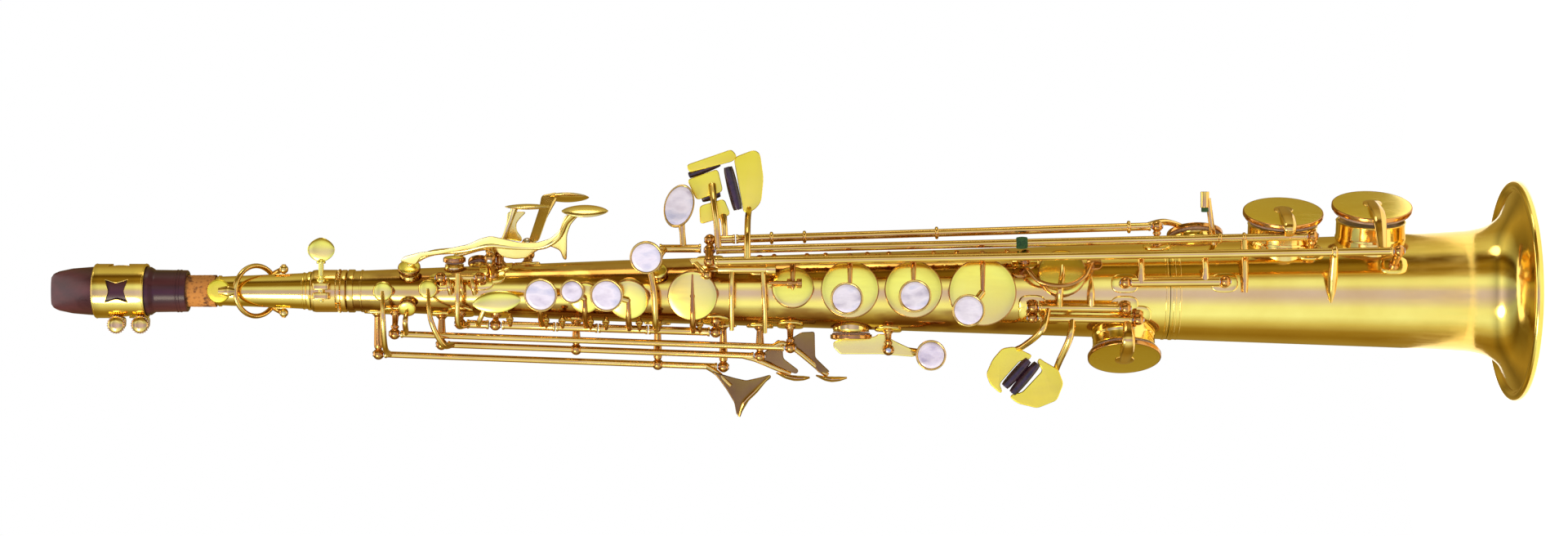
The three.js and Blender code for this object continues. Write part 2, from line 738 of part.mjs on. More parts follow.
function highFSharpKey() {
  const hole = { z: 308, angle: -90, radius: 9.6 };
  addToneHole(hole.z, hole.angle, hole.radius - 1.4);
  const pivot = point(-27, 0, 291);
  const seat = point(-29.4, -9, 271.6);
  const blade = [point(-28, -1, 280), point(seat.x, -7.6, seat.z), point(seat.x, -9.6, seat.z)];
  const key = join([
    padCupAt(hole.z, hole.angle, hole.radius),
    rod(point(pivot.x, -4, pivot.z), point(pivot.x, 4, pivot.z), 2, 8),
    arm([above(hole.z, hole.angle, 4.6), point(-25.5, 0, 300), pivot, ...blade], 1.7),
    pearlHolder(seat, FRONT, 7),
  ]);
  addPiece('high_F_sharp_key', LACQUER, key);
  addPiece('high_F_sharp_pearl', SHELL, pearlDisc(seat, FRONT, 7));
  for (const y of [-6.8, 6.8]) posts.push(point(pivot.x, y, pivot.z));
}

// ---------------------------------------------------------------- octave mechanism and thumb

const OCTAVE_LINE = new THREE.Line3(point(7, 21.5, 500), point(7, 24, 452));
const NECK_PIVOT_Z = 569.8;
const NECK_PIVOT_Y = -1;
const NECK_VENT_Z = 598.7;
const NECK_LOOP_Z = 584;
const NECK_LOOP_RADIUS = 11.4;

function neckOctaveKey() {
  const cover = turned([[0, 0], [4, 0], [4.4, 1.2], [3.6, 3], [0, 3]], 16);
  const pad = placed(cover, point(0, -9.2, NECK_VENT_Z), FRONT);
  const loop = new THREE.TorusGeometry(NECK_LOOP_RADIUS, 1.1, 5, 16);
  loop.rotateX(radians(-14)).translate(0, 0, NECK_LOOP_Z);
  const sides = [-1, 1].map((side) =>
    join([
      arm(
        [
          point(side * 9.9, -0.6, NECK_PIVOT_Z),
          point(side * 11.2, -0.4, 577),
          point(side * NECK_LOOP_RADIUS, 0, NECK_LOOP_Z),
        ],
        1.2,
      ),
      ball(point(side * 10, NECK_PIVOT_Y, NECK_PIVOT_Z), 1.9),
    ]),
  );
  const yoke = arm([point(0, -11, 587), point(0, -12, 592), point(0, -11.6, NECK_VENT_Z)], 1.4);
  addPiece('neck_octave_key', LACQUER, join([solidOf(loop), pad, yoke, ...sides]));
}

function bodyOctaveKey() {
  const hole = { z: 505, angle: 175, radius: 2.9 };
  addToneHole(hole.z, hole.angle, hole.radius - 0.6, 2);
  const line = OCTAVE_LINE;
  const key = join([
    barrel(line, 499, 483),
    padCupAt(hole.z, hole.angle, hole.radius, 2),
    arm([pointOn(line, 496), point(4, 21, 499), above(hole.z, hole.angle, 5)], 1.2),
  ]);
  addPiece('body_octave_key', LACQUER, key);
  addPost(line, 502);
}

function thumbOctaveLever() {
  const line = OCTAVE_LINE;
  const touch = spatula(point(-2, 24.5, 462), point(0, 0, -1), 9, 6, 1.2);
  const stalk = arm([pointOn(line, 466), point(3, 25, 465), point(-1, 24.8, 463)], 1.3);
  addPiece('thumb_octave_lever', LACQUER, join([barrel(line, 482.5, 455), touch, stalk]));
  addPost(line, 452);
}

function thumbFittings() {
  const rest = turned([[0, 0], [5.4, 0], [5.4, 1.6], [6.2, 2.2], [6.2, 3], [3.5, 4], [0, 4.3]], 22);
  addPiece('thumb_rest', DARK_LACQUER, placed(rest, above(438, 180, GAP), outward(180)));
  const foot = above(249, 180, GAP + 1.2);
  const base = new THREE.BoxGeometry(13, 2.4, 26).translate(0, foot.y, 262);
  const crook = [
    point(0, foot.y + 0.6, 262),
    point(0, foot.y + 9, 263),
    point(0, foot.y + 17, 258),
    point(0, foot.y + 19, 248),
  ];
  addPiece('thumb_hook', LACQUER, join([solidOf(base), arm(crook, 3, 4)]));
  const plate = above(338, 180, GAP + 0.6);
  const shoe = new THREE.BoxGeometry(8, 1.2, 14).translate(0, plate.y, 345);
  const ring = new THREE.TorusGeometry(5.4, 1.3, 6, 14);
  ring.rotateY(Math.PI / 2).translate(0, plate.y + 5.6, 345);
  addPiece('sling_ring', LACQUER, join([solidOf(shoe), solidOf(ring)]));
}

// ---------------------------------------------------------------- neck, receiver, mouthpiece

function neckParts() {
  const outer = [
    [NECK_RADIUS_LOW - 0.2, BODY_TOP + 1],
    [NECK_RADIUS_LOW - 0.2, RECEIVER_TOP + 0.4],
    [NECK_RADIUS_LOW + 0.2, RECEIVER_TOP + 0.4],
    [NECK_RADIUS_LOW + 0.2, RECEIVER_TOP + 2],
    [NECK_RADIUS_TOP, NECK_TOP],
    [NECK_RADIUS_TOP - 0.9, NECK_TOP],
    [NECK_RADIUS_LOW - 1.2, BODY_TOP + 1],
  ];
  const pipe = turned([...outer, outer[0]], 24);
  const pip = rod(point(0, -5.8, NECK_VENT_Z), point(0, -8.9, NECK_VENT_Z), 2, 10);
  const saddles = [-1, 1].map((side) => {
    const inner = point(side * 6.6, NECK_PIVOT_Y, NECK_PIVOT_Z);
    return rod(inner, point(side * 7.8, NECK_PIVOT_Y, NECK_PIVOT_Z), 1.6, 8);
  });
  const pipBore = rod(point(0, -3, NECK_VENT_Z), point(0, -10, NECK_VENT_Z), 0.8, 8);
  addPiece('neck', LACQUER, join([pipe, pip, ...saddles]).subtract(pipBore));

  const ring = [
    [8.3, BODY_TOP + GAP],
    [RECEIVER_RADIUS, BODY_TOP + GAP],
    [RECEIVER_RADIUS, RECEIVER_TOP],
    [8.3, RECEIVER_TOP],
  ];
  const lugs = [-2.2, 2.2].map((x) => {
    const lug = new THREE.BoxGeometry(3, 6, 8).translate(x, CLAMP_Y + 1, CLAMP_Z);
    return solidOf(lug);
  });
  const slit = solidOf(new THREE.BoxGeometry(1.2, 12, 14).translate(0, CLAMP_Y, CLAMP_Z + 1));
  const bore = rod(point(-5, CLAMP_Y, CLAMP_Z), point(5, CLAMP_Y, CLAMP_Z), 1.5, 10);
  const receiver = join([turned([...ring, ring[0]], 24), ...lugs]).subtract(slit).subtract(bore);
  addPiece('neck_receiver', DARK_LACQUER, receiver);

  const paddle = new THREE.SphereGeometry(1, 10, 6).scale(5.6, 1.3, 6.3);
  const screw = join([
    rod(point(-5, CLAMP_Y, CLAMP_Z), point(15, CLAMP_Y, CLAMP_Z), 1.2),
    rod(point(4.2, CLAMP_Y, CLAMP_Z), point(7, CLAMP_Y, CLAMP_Z), 2),
    solidOf(paddle.translate(18.9, CLAMP_Y, CLAMP_Z)),
  ]);
  addPiece('neck_clamp_screw', LACQUER, screw);

  const cork = [
    [NECK_RADIUS_TOP + 0.9, CORK_BOTTOM],
    [CORK_RADIUS, CORK_BOTTOM],
    [CORK_RADIUS - 0.2, NECK_TOP + 12],
    [NECK_RADIUS_TOP + 0.3, NECK_TOP + 12],
    [NECK_RADIUS_TOP + 0.3, NECK_TOP],
  ];
  addPiece('neck_cork', CORK_LOOK, turned([...cork, cork[0]], 20));
}

function mouthpieceParts() {
  const shoulder = 629;
  const outer = [
    [9.6, MOUTHPIECE_BOTTOM],
    [9.8, shoulder],
    [11.1, shoulder + 2],
    [11.4, 655],
    [10.4, 668],
    [8.1, MOUTHPIECE_TIP],
  ];
  const blank = turned([[0, MOUTHPIECE_BOTTOM], ...outer, [0, MOUTHPIECE_TIP]], 24);
  const bore = turned([[0, 600], [7.6, 600], [7.6, 640], [5, 648], [0, 648]], 24);
  const facing = solidOf(new THREE.BoxGeometry(30, 10, 60).translate(0, TABLE_Y + 5, 652));
  const wedge = new THREE.BoxGeometry(30, 14, 40).translate(0, -7, 20);
  const slope = Math.atan2(BEAK_DROP, MOUTHPIECE_TIP - 655);
  wedge.rotateX(-slope).translate(0, -11.2, 655);
  const reedWindow = solidOf(new THREE.BoxGeometry(8.4, 8, 28).translate(0, TABLE_Y - 2, 660));
  const beak = blank.subtract(bore).subtract(facing).subtract(solidOf(wedge)).subtract(reedWindow);
  addPiece('mouthpiece', EBONITE, beak);

  const blade = new THREE.Shape();
  blade.moveTo(TABLE_Y + GAP, 631);
  blade.lineTo(TABLE_Y + 2.4, 631);
  blade.lineTo(TABLE_Y + 2.4, 657);
  blade.lineTo(TABLE_Y + GAP + 0.3, MOUTHPIECE_TIP - 0.6);
  blade.lineTo(TABLE_Y + GAP, MOUTHPIECE_TIP - 0.6);
  const reedFrame = new THREE.Matrix4().makeBasis(point(0, 1, 0), point(0, 0, 1), point(1, 0, 0));
  const plainReed = new THREE.ExtrudeGeometry(blade, { depth: 12.4, bevelEnabled: false });
  plainReed.applyMatrix4(reedFrame).translate(-6.2, 0, 0);
  addPiece('reed', CANE, solidOf(plainReed));

  const band = [[11.75, LIGATURE_LOW], [12.5, LIGATURE_LOW], [12.5, LIGATURE_TOP], [11.75, LIGATURE_TOP]];
  const windows = [0, 90, 180].map((angle) => {
    const cut = new THREE.BoxGeometry(9, 4, 9).rotateY(Math.PI / 4).rotateX(Math.PI / 2);
    return placed(solidOf(cut), outward(angle).multiplyScalar(12).setZ(645), outward(angle));
  });
  const lugs = SCREW_HEIGHTS.flatMap((z) =>
    [-2.6, 1.4].map((y) => solidOf(new THREE.BoxGeometry(5.6, 2, 6).translate(-14.6, y, z))),
  );
  const holes = SCREW_HEIGHTS.map((z) => rod(point(SCREW_X, -6, z), point(SCREW_X, 6, z), 1.4, 10));
  const strap = join([turned([...band, band[0]], 20), ...lugs]);
  addPiece('ligature', LACQUER, [...windows, ...holes].reduce((body, cut) => body.subtract(cut), strap));
  SCREW_HEIGHTS.forEach((z, i) => {
    const head = new THREE.SphereGeometry(1, 10, 6).scale(4.1, 2.2, 4.1).translate(SCREW_X, -6.4, z);
    const shank = rod(point(SCREW_X, -6.4, z), point(SCREW_X, 4.4, z), 1.15, 10);
    addPiece(`ligature_screw_${i + 1}`, LACQUER, join([solidOf(head), shank]));
  });
}

// ---------------------------------------------------------------- body and bell

function bodyAndBell() {
  const taper = [
    [bodyRadius(BELL_SEAM + GAP), BELL_SEAM + GAP],
    [bodyRadius(BODY_TOP), BODY_TOP],
  ];
  const middle = [bodyRadius(414), 414];
  const tube = turned([[0, taper[0][1]], taper[0], middle, taper[1], [0, BODY_TOP]], TUBE_SIDES);
  addPiece('body_tube', LACQUER, fitOut(tube, BELL_SEAM + GAP, BODY_TOP));

  const flare = BODY_OUTLINE.filter(([z]) => z < BELL_SEAM).map(([z, r]) => [r, z]);
  const outer = [[bodyRadius(BELL_SEAM), BELL_SEAM], ...flare];
  const rim = [
    [RIM_RADIUS - 1.4, 3.6],
    [RIM_RADIUS, 2.2],
    [RIM_RADIUS - 0.4, 0.5],
    [RIM_RADIUS - 1.4, 0],
    [RIM_RADIUS - 3.4, 0],
  ];
  const solidBell = turned([[0, BELL_SEAM], ...outer, ...rim, [0, 0]], TUBE_SIDES);
  addPiece('bell', LACQUER, fitOut(solidBell, 0, BELL_SEAM));
}

neckOctaveKey();
bodyOctaveKey();
thumbOctaveLever();
thumbFittings();
palmKeys();
frontFKey();
leftStack();
gSharpKey();
lowCSharpKey();
lowBKey();
lowBFlatKey();
rollers();
rightStack();
eFlatKey();
lowCKey();
sideKeys();
highFSharpKey();
neckParts();
mouthpieceParts();
bodyAndBell();

export default saxophone;
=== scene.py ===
import math

import bmesh
import bpy
from mathutils import Matrix, Vector


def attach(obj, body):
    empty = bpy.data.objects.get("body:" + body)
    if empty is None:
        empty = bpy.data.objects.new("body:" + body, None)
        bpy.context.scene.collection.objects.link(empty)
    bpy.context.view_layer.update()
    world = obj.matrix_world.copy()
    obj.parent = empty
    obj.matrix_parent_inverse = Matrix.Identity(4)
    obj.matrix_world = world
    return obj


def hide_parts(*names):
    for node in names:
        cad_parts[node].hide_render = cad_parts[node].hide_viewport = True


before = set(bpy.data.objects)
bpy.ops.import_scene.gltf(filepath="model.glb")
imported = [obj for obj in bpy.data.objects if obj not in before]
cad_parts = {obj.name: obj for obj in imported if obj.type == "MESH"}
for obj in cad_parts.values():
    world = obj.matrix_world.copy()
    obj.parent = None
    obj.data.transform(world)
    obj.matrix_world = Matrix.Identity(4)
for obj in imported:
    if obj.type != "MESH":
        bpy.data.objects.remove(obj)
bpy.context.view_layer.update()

MM = 0.001  # everything below is laid out in millimetres, then written in metres

# The sax stands on its bell: z runs up the bore from the bell mouth, the front faces -Y.
# Angles go round the bore from the front (0) towards +X (90).

BODY_TOP = 540
BELL_SEAM = 163
RIM_RADIUS = 50.9
WALL = 1.0
# height and outside radius, from the receiver down to the bell mouth
BODY_OUTLINE = [
    (BODY_TOP, 9.2), (414, 14.2), (158, 22.5), (98, 24.7), (45, 26.6), (30, 27.5),
    (22, 28.2), (14, 30.4), (8, 34.8), (4.5, 40.6), (2.4, 46),
]
CHIMNEY_RISE = 1.2  # of most tone holes above the tube
GAP = 0.3  # left between parts that meet
PAD = 1.2  # thickness of a pad
CUP = 2.6  # height of a key cup
TUBE_RADIUS = 1.85  # of the hinge tubes
OPEN_ANGLE = 8  # degrees that an open-standing key is swung from where it shuts
SHUT_CUP_TOP = CHIMNEY_RISE + PAD + GAP + CUP  # height of a shut cup above the tube
TABLE_POSTS = 373  # height of the posts beside the little finger table


# ------------------------------------------------------------------ vectors and places

def vec(*xyz):
    return Vector(xyz)


def body_radius(z):
    last = len(BODY_OUTLINE) - 1
    i = 1
    while i < last and z < BODY_OUTLINE[i][0]:
        i += 1
    (z0, r0), (z1, r1) = BODY_OUTLINE[i - 1], BODY_OUTLINE[i]
    return r0 + (z - z0) * (r1 - r0) / (z1 - z0)


def outward(angle):
    a = math.radians(angle)
    return vec(math.sin(a), -math.cos(a), 0)


def across(angle):
    a = math.radians(angle)
    return vec(math.cos(a), math.sin(a), 0)


def above(z, angle, lift):
    place = outward(angle) * (body_radius(z) + lift)
    place.z = z
    return place


class Line:
    """A hinge axis between two points, followed by height."""

    def __init__(self, start, end):
        self.start, self.end = start, end

    def at(self, z):
        t = (z - self.start.z) / (self.end.z - self.start.z)
        return self.start.lerp(self.end, t)

    def axis(self):
        return (self.end - self.start).normalized()


def hinge_line(top, bottom, angle, lift):
    return Line(above(top, angle, lift), above(bottom, angle, lift))


def swing(line, degrees):
    turn = Matrix.Rotation(math.radians(degrees), 4, line.axis())
    return Matrix.Translation(line.start) @ turn @ Matrix.Translation(-line.start)


FRONT = outward(0)
LEFT_STACK = hinge_line(488, 370, -60, 6)
RIGHT_STACK = hinge_line(350, 229, 42, 4.6)
LOW_C_SHARP_LINE = hinge_line(TABLE_POSTS, 168, 70, 9.5)
LOW_B_LINE = Line(above(TABLE_POSTS, 50, 9), above(99, 45.5, 10.4))
LOW_B_FLAT_LINE = hinge_line(TABLE_POSTS, 62, 27, 14.2)
SIDE_B_FLAT_LINE = hinge_line(518, 336, -70, 10.8)
SIDE_C_LINE = hinge_line(497, 350, -85, 13.8)
HIGH_E_LINE = hinge_line(527, 367, -100, 20)
E_FLAT_LINE = hinge_line(226, 184, -17, 4.6)
LOW_C_LINE = hinge_line(226, 180, -29, 4.6)
G_SHARP_LINE = Line(vec(19.5, -11.5, 396), vec(19.5, -11.5, 377))
OCTAVE_LINE = Line(vec(7, 21.5, 500), vec(7, 24, 452))


# ------------------------------------------------------------------ mesh building

def spline(points, steps):
    """Centripetal Catmull-Rom points through the given ones."""
    if len(points) == 2:
        return [points[0].lerp(points[1], i / steps) for i in range(steps + 1)]
    ends = [points[0] * 2 - points[1], *points, points[-1] * 2 - points[-2]]
    out = []
    for i in range(1, len(ends) - 2):
        p0, p1, p2, p3 = ends[i - 1:i + 3]
        knots = [0.0]
        for a, b in ((p0, p1), (p1, p2), (p2, p3)):
            knots.append(knots[-1] + max((b - a).length, 1e-6) ** 0.5)
        for k in range(steps):
            t = knots[1] + (knots[2] - knots[1]) * k / steps
            a1 = p0.lerp(p1, (t - knots[0]) / (knots[1] - knots[0]))
            a2 = p1.lerp(p2, (t - knots[1]) / (knots[2] - knots[1]))
            a3 = p2.lerp(p3, (t - knots[2]) / (knots[3] - knots[2]))
            b1 = a1.lerp(a2, (t - knots[0]) / (knots[2] - knots[0]))
            b2 = a2.lerp(a3, (t - knots[1]) / (knots[3] - knots[1]))
            out.append(b1.lerp(b2, (t - knots[1]) / (knots[2] - knots[1])))
    return [*out, points[-1].copy()]


def rounded(profile, radius, steps=4):
    """Round the inner corners of an outline of (r, h) pairs."""
    out = [profile[0]]
    for before, corner, after in zip(profile, profile[1:], profile[2:]):
        c = Vector(corner)
        a, b = Vector(before) - c, Vector(after) - c
        cut = min(radius, a.length * 0.45, b.length * 0.45)
        start, end = c + a.normalized() * cut, c + b.normalized() * cut
        for k in range(steps + 1):
            t = k / steps
            out.append(tuple(start.lerp(c, t).lerp(c.lerp(end, t), t)))
    return [*out, profile[-1]]


class Shape:
    """Builds one mesh from turned, swept and plated parts."""

    def __init__(self):
        self.bm = bmesh.new()
        self.material = 0

    def strip(self, rings, closed_ring=True):
        for a, b in zip(rings, rings[1:]):
            n = max(len(a), len(b))
            for i in range(n if closed_ring else n - 1):
                j = (i + 1) % n
                corners = [a[i % len(a)], a[j % len(a)], b[j % len(b)], b[i % len(b)]]
                unique = list(dict.fromkeys(corners))
                if len(unique) > 2:
                    self.bm.faces.new(unique).material_index = self.material

    def turned(self, profile, origin=None, direction=None, sides=48, scale=(1, 1), loop=False):
        """Turn (r, h) pairs about `direction`; points on the axis become poles."""
        origin = origin or vec(0, 0, 0)
        turn = vec(0, 0, 1).rotation_difference((direction or vec(0, 0, 1)).normalized()).to_matrix()
        rings = []
        for r, h in profile:
            if abs(r) < 1e-6:
                rings.append([self.bm.verts.new(origin + turn @ vec(0, 0, h))])
                continue
            ring = []
            for i in range(sides):
                a = 2 * math.pi * i / sides
                ring.append(self.bm.verts.new(
                    origin + turn @ vec(r * math.cos(a) * scale[0], r * math.sin(a) * scale[1], h)))
            rings.append(ring)
        if loop:
            rings.append(rings[0])
        self.strip(rings)
        return self

    def sweep(self, points, radii, sides=14, steps=8, flat=1.0, wide=None, square=1.0):
        """A tube along a smooth path; `flat` squeezes it and `wide` is its broad direction."""
        path = spline(points, steps)
        count = len(path)
        radii = radii if isinstance(radii, (list, tuple)) else [radii, radii]
        reference = wide or self._side(path[1] - path[0])
        rings = []
        for i, place in enumerate(path):
            ahead = path[min(i + 1, count - 1)] - path[max(i - 1, 0)]
            tangent = ahead.normalized()
            u = reference - tangent * reference.dot(tangent)
            u = u.normalized() if u.length > 1e-6 else self._side(tangent)
            reference = wide or u
            v = tangent.cross(u)
            spot = i / (count - 1) * (len(radii) - 1)
            low = min(int(spot), len(radii) - 2)
            radius = radii[low] + (radii[low + 1] - radii[low]) * (spot - low)
            ring = []
            for k in range(sides):
                a = 2 * math.pi * (k + 0.5) / sides
                c, s = math.cos(a), math.sin(a)
                c = math.copysign(abs(c) ** square, c)
                s = math.copysign(abs(s) ** square, s)
                ring.append(self.bm.verts.new(place + u * (c * radius) + v * (s * radius * flat)))
            rings.append(ring)
        first = self.bm.verts.new(path[0])
        last = self.bm.verts.new(path[-1])
        self.strip([[first], *rings, [last]])
        return self

    @staticmethod
    def _side(direction):
        other = vec(0, 0, 1) if abs(direction.normalized().z) < 0.9 else vec(1, 0, 0)
        return direction.cross(other).normalized()

    def rod(self, start, end, radius, sides=20, soft=0.25):
        length = (end - start).length
        soft = min(soft, radius * 0.6, length * 0.4)
        profile = rounded([(0, 0), (radius, 0), (radius, length), (0, length)], soft, 3)
        return self.turned(profile, start, end - start, sides)

    def ball(self, centre, radius, direction=None, scale=1.0, sides=24):
        rows = sides // 2
        profile = [(radius * math.sin(math.pi * i / rows), -radius * scale * math.cos(math.pi * i / rows))
                   for i in range(rows + 1)]
        profile[0], profile[-1] = (0, profile[0][1]), (0, profile[-1][1])
        return self.turned(profile, centre, direction, sides)

    def plate(self, corners, origin, right, up, thickness, rounding, bevel):
        """A rounded plate; `corners` are (right, up) pairs and it stands out along right x up."""
        outline = self.loop_outline(corners, rounding, 6)
        normal = right.cross(up).normalized()
        centre = sum((Vector(p) for p in outline), Vector((0, 0))) / len(outline)

        def corner(p, height):
            return self.bm.verts.new(origin + right * p.x + up * p.y + normal * height)

        layers = [(bevel, 0), (bevel * 0.3, bevel * 0.35), (0, bevel)]
        layers += [(inset, thickness - height) for inset, height in reversed(layers)]
        edge = [[corner(p + (centre - p).normalized() * inset, height) for p in outline]
                for inset, height in layers]
        shares = (0.25, 0.5, 0.75)
        under = [[corner(centre.lerp(p, share), 0) for p in outline] for share in shares]
        over = [[corner(centre.lerp(p, share), thickness) for p in outline] for share in reversed(shares)]
        self.strip([[corner(centre, 0)], *under, *edge, *over, [corner(centre, thickness)]])
        return self

    @staticmethod
    def loop_outline(corners, rounding, steps):
        out = []
        count = len(corners)
        for i, corner in enumerate(corners):
            c = Vector(corner)
            a = Vector(corners[i - 1]) - c
            b = Vector(corners[(i + 1) % count]) - c
            start = c + a.normalized() * min(rounding, a.length * 0.45)
            end = c + b.normalized() * min(rounding, b.length * 0.45)
            for k in range(steps + 1):
                t = k / steps
                out.append(start.lerp(c, t).lerp(c.lerp(end, t), t))
        return out

    def torus(self, centre, direction, major, minor, sides=48, tube=12, scale=(1, 1)):
        profile = [(major + minor * math.cos(2 * math.pi * i / tube),
                    minor * math.sin(2 * math.pi * i / tube))
                   for i in range(tube)]
        return self.turned(profile, centre, direction, sides, scale, loop=True)

    def moved(self, matrix):
        self.bm.transform(matrix)
        return self

    def add(self, other):
        copy = bpy.data.meshes.new("part")
        other.bm.to_mesh(copy)
        self.bm.from_mesh(copy)
        bpy.data.meshes.remove(copy)
        return self


def sheet_with_holes(outer, holes, thickness, bevel):
    """A flat plate in x and y with openings, as a mesh that can be wrapped afterwards."""
    curve = bpy.data.curves.new("sheet", "CURVE")
    curve.dimensions = "2D"
    curve.fill_mode = "BOTH"
    curve.extrude = thickness / 2 - bevel
    curve.bevel_depth = bevel
    curve.offset = -bevel
    for outline in (outer, *holes):
        line = curve.splines.new("POLY")
        line.points.add(len(outline) - 1)
        for spot, (x, y) in zip(line.points, outline):
            spot.co = (x, y, 0, 1)
        line.use_cyclic_u = True
    holder = bpy.data.objects.new("sheet", curve)
    bpy.context.scene.collection.objects.link(holder)
    graph = bpy.context.evaluated_depsgraph_get()
    mesh = bpy.data.meshes.new_from_object(holder.evaluated_get(graph))
    shape = Shape()
    shape.bm.from_mesh(mesh)
    bpy.data.objects.remove(holder)
    bpy.data.meshes.remove(mesh)
    bmesh.ops.remove_doubles(shape.bm, verts=shape.bm.verts, dist=1e-4)
    return shape


SHARP_ANGLE = 38  # edges that turn by more than this stay crisp


def make_piece(name, shape, looks, body, nodes=()):
    """Write a shape out as an object in metres, parent it to its body's empty and hide the CAD parts it
    replaces.
    """
    bmesh.ops.recalc_face_normals(shape.bm, faces=shape.bm.faces)
    shape.bm.transform(Matrix.Scale(MM, 4))
    mesh = bpy.data.meshes.new(name)
    for face in shape.bm.faces:
        face.smooth = True
    shape.bm.to_mesh(mesh)
    shape.bm.free()
    mesh.set_sharp_from_angle(angle=math.radians(SHARP_ANGLE))
    for look in looks if isinstance(looks, list) else [looks]:
        mesh.materials.append(look)
    piece = bpy.data.objects.new(name, mesh)
    bpy.context.scene.collection.objects.link(piece)
    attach(piece, body)
    if nodes:
        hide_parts(*nodes)
    return piece


# ------------------------------------------------------------------ materials

def new_material(name, metallic, roughness):
    look = bpy.data.materials.new(name)
    look.use_nodes = True
    shader = look.node_tree.nodes["Principled BSDF"]
    shader.inputs["Metallic"].default_value = metallic
    shader.inputs["Roughness"].default_value = roughness
    coords = look.node_tree.nodes.new("ShaderNodeTexCoord")
    return look, shader, coords.outputs["Object"]


def noise(tree, coords, scale, detail, stretch=(1, 1, 1)):
    mapping = tree.nodes.new("ShaderNodeMapping")
    mapping.inputs["Scale"].default_value = stretch
    texture = tree.nodes.new("ShaderNodeTexNoise")
    texture.inputs["Scale"].default_value = scale
    texture.inputs["Detail"].default_value = detail
    tree.links.new(coords, mapping.inputs["Vector"])
    tree.links.new(mapping.outputs["Vector"], texture.inputs["Vector"])
    return texture.outputs["Fac"]


def ramp(tree, value, stops):
    node = tree.nodes.new("ShaderNodeValToRGB")
    elements = node.color_ramp.elements
    while len(elements) < len(stops):
        elements.new(0.5)
    for element, (place, colour) in zip(elements, stops):
        element.position = place
        element.color = (*colour, 1)
    tree.links.new(value, node.inputs["Fac"])
    return node.outputs["Color"]


def span(tree, value, low, high, source=(0.3, 0.7)):
    node = tree.nodes.new("ShaderNodeMapRange")
    node.inputs["From Min"].default_value, node.inputs["From Max"].default_value = source
    node.inputs["To Min"].default_value = low
    node.inputs["To Max"].default_value = high
    tree.links.new(value, node.inputs["Value"])
    return node.outputs["Result"]


def bump(tree, shader, height, strength, distance):
    node = tree.nodes.new("ShaderNodeBump")
    node.inputs["Strength"].default_value = strength
    node.inputs["Distance"].default_value = distance
    tree.links.new(height, node.inputs["Height"])
    tree.links.new(node.outputs["Normal"], shader.inputs["Normal"])


POLISH_HAZE = 0.08


def brass(name, light, deep, roughness):
    """Lacquered brass: cloudy tint, fine polishing haze and a faint ripple."""
    look, shader, coords = new_material(name, 1.0, roughness)
    tree = look.node_tree
    cloud = noise(tree, coords, 34, 5)
    tree.links.new(ramp(tree, cloud, [(0.34, deep), (0.62, light)]), shader.inputs["Base Color"])
    rub = noise(tree, coords, 420, 6, (1, 1, 0.16))
    tree.links.new(span(tree, rub, roughness, roughness + POLISH_HAZE), shader.inputs["Roughness"])
    bump(tree, shader, noise(tree, coords, 260, 3, (1, 1, 0.5)), 0.12, 0.00012)
    return look


def bearing(tree, direction):
    """Angle round the bore from the front, as 0 to 1, with the front at 0.5."""
    parts = tree.nodes.new("ShaderNodeSeparateXYZ")
    tree.links.new(direction, parts.inputs["Vector"])
    forward = tree.nodes.new("ShaderNodeMath")
    forward.operation = "MULTIPLY"
    forward.inputs[1].default_value = -1
    tree.links.new(parts.outputs["Y"], forward.inputs[0])
    turn = tree.nodes.new("ShaderNodeMath")
    turn.operation = "ARCTAN2"
    tree.links.new(parts.outputs["X"], turn.inputs[0])
    tree.links.new(forward.outputs["Value"], turn.inputs[1])
    return span(tree, turn.outputs["Value"], 0, 1, (-math.pi, math.pi)), parts.outputs["Z"]


def mixed(tree, kind, factor, first, second):
    node = tree.nodes.new("ShaderNodeMix")
    node.data_type = "RGBA"
    node.blend_type = kind
    if isinstance(factor, (int, float)):
        node.inputs["Factor"].default_value = factor
    else:
        tree.links.new(factor, node.inputs["Factor"])
    for value, socket in ((first, node.inputs["A"]), (second, node.inputs["B"])):
        if isinstance(value, tuple):
            socket.default_value = (*value, 1)
        else:
            tree.links.new(value, socket)
    return node.outputs["Result"]


def tube_brass_with_painted_reflection():
    """Body lacquer with painted reflection and shade of the keywork: streaky dark amber along both sides of
    the tube.
    """
    look = brass("body_lacquer_painted_reflection", (0.92, 0.64, 0.15), (0.84, 0.55, 0.11), 0.09)
    tree = look.node_tree
    colour = tree.nodes["Principled BSDF"].inputs["Base Color"]
    plain = colour.links[0].from_socket
    coords = tree.nodes.new("ShaderNodeTexCoord").outputs["Object"]
    place, height = bearing(tree, coords)
    # how dark the painted reflection of the keywork is at each bearing round the bore; none at the front
    sides = [(0.27, 0.5), (0.35, 0.95), (0.42, 0.8), (0.436, 0.0), (0.525, 0.0), (0.545, 0.75),
             (0.62, 0.85), (0.68, 0.35), (0.78, 0.2)]
    beside = ramp(tree, place, [(at, (level,) * 3) for at, level in sides])
    along = ramp(tree, span(tree, height, 0, 1, (0.19, 0.55)),
                 [(0.0, (0, 0, 0)), (0.16, (1, 1, 1)), (1, (1, 1, 1))])
    reflection_streaks = ramp(tree, noise(tree, coords, 75, 3, (1, 1, 0.55)), [(0.38, (0.5,) * 3), (0.54, (1, 1, 1))])
    painted_reflection_mask = mixed(tree, "MULTIPLY", 1, mixed(tree, "MULTIPLY", 1, beside, along), reflection_streaks)
    # mix the lacquer towards dark amber as painted reflection and shade of the keywork
    tree.links.new(mixed(tree, "MIX", painted_reflection_mask, plain, (0.25, 0.08, 0.015)), colour)
    return look


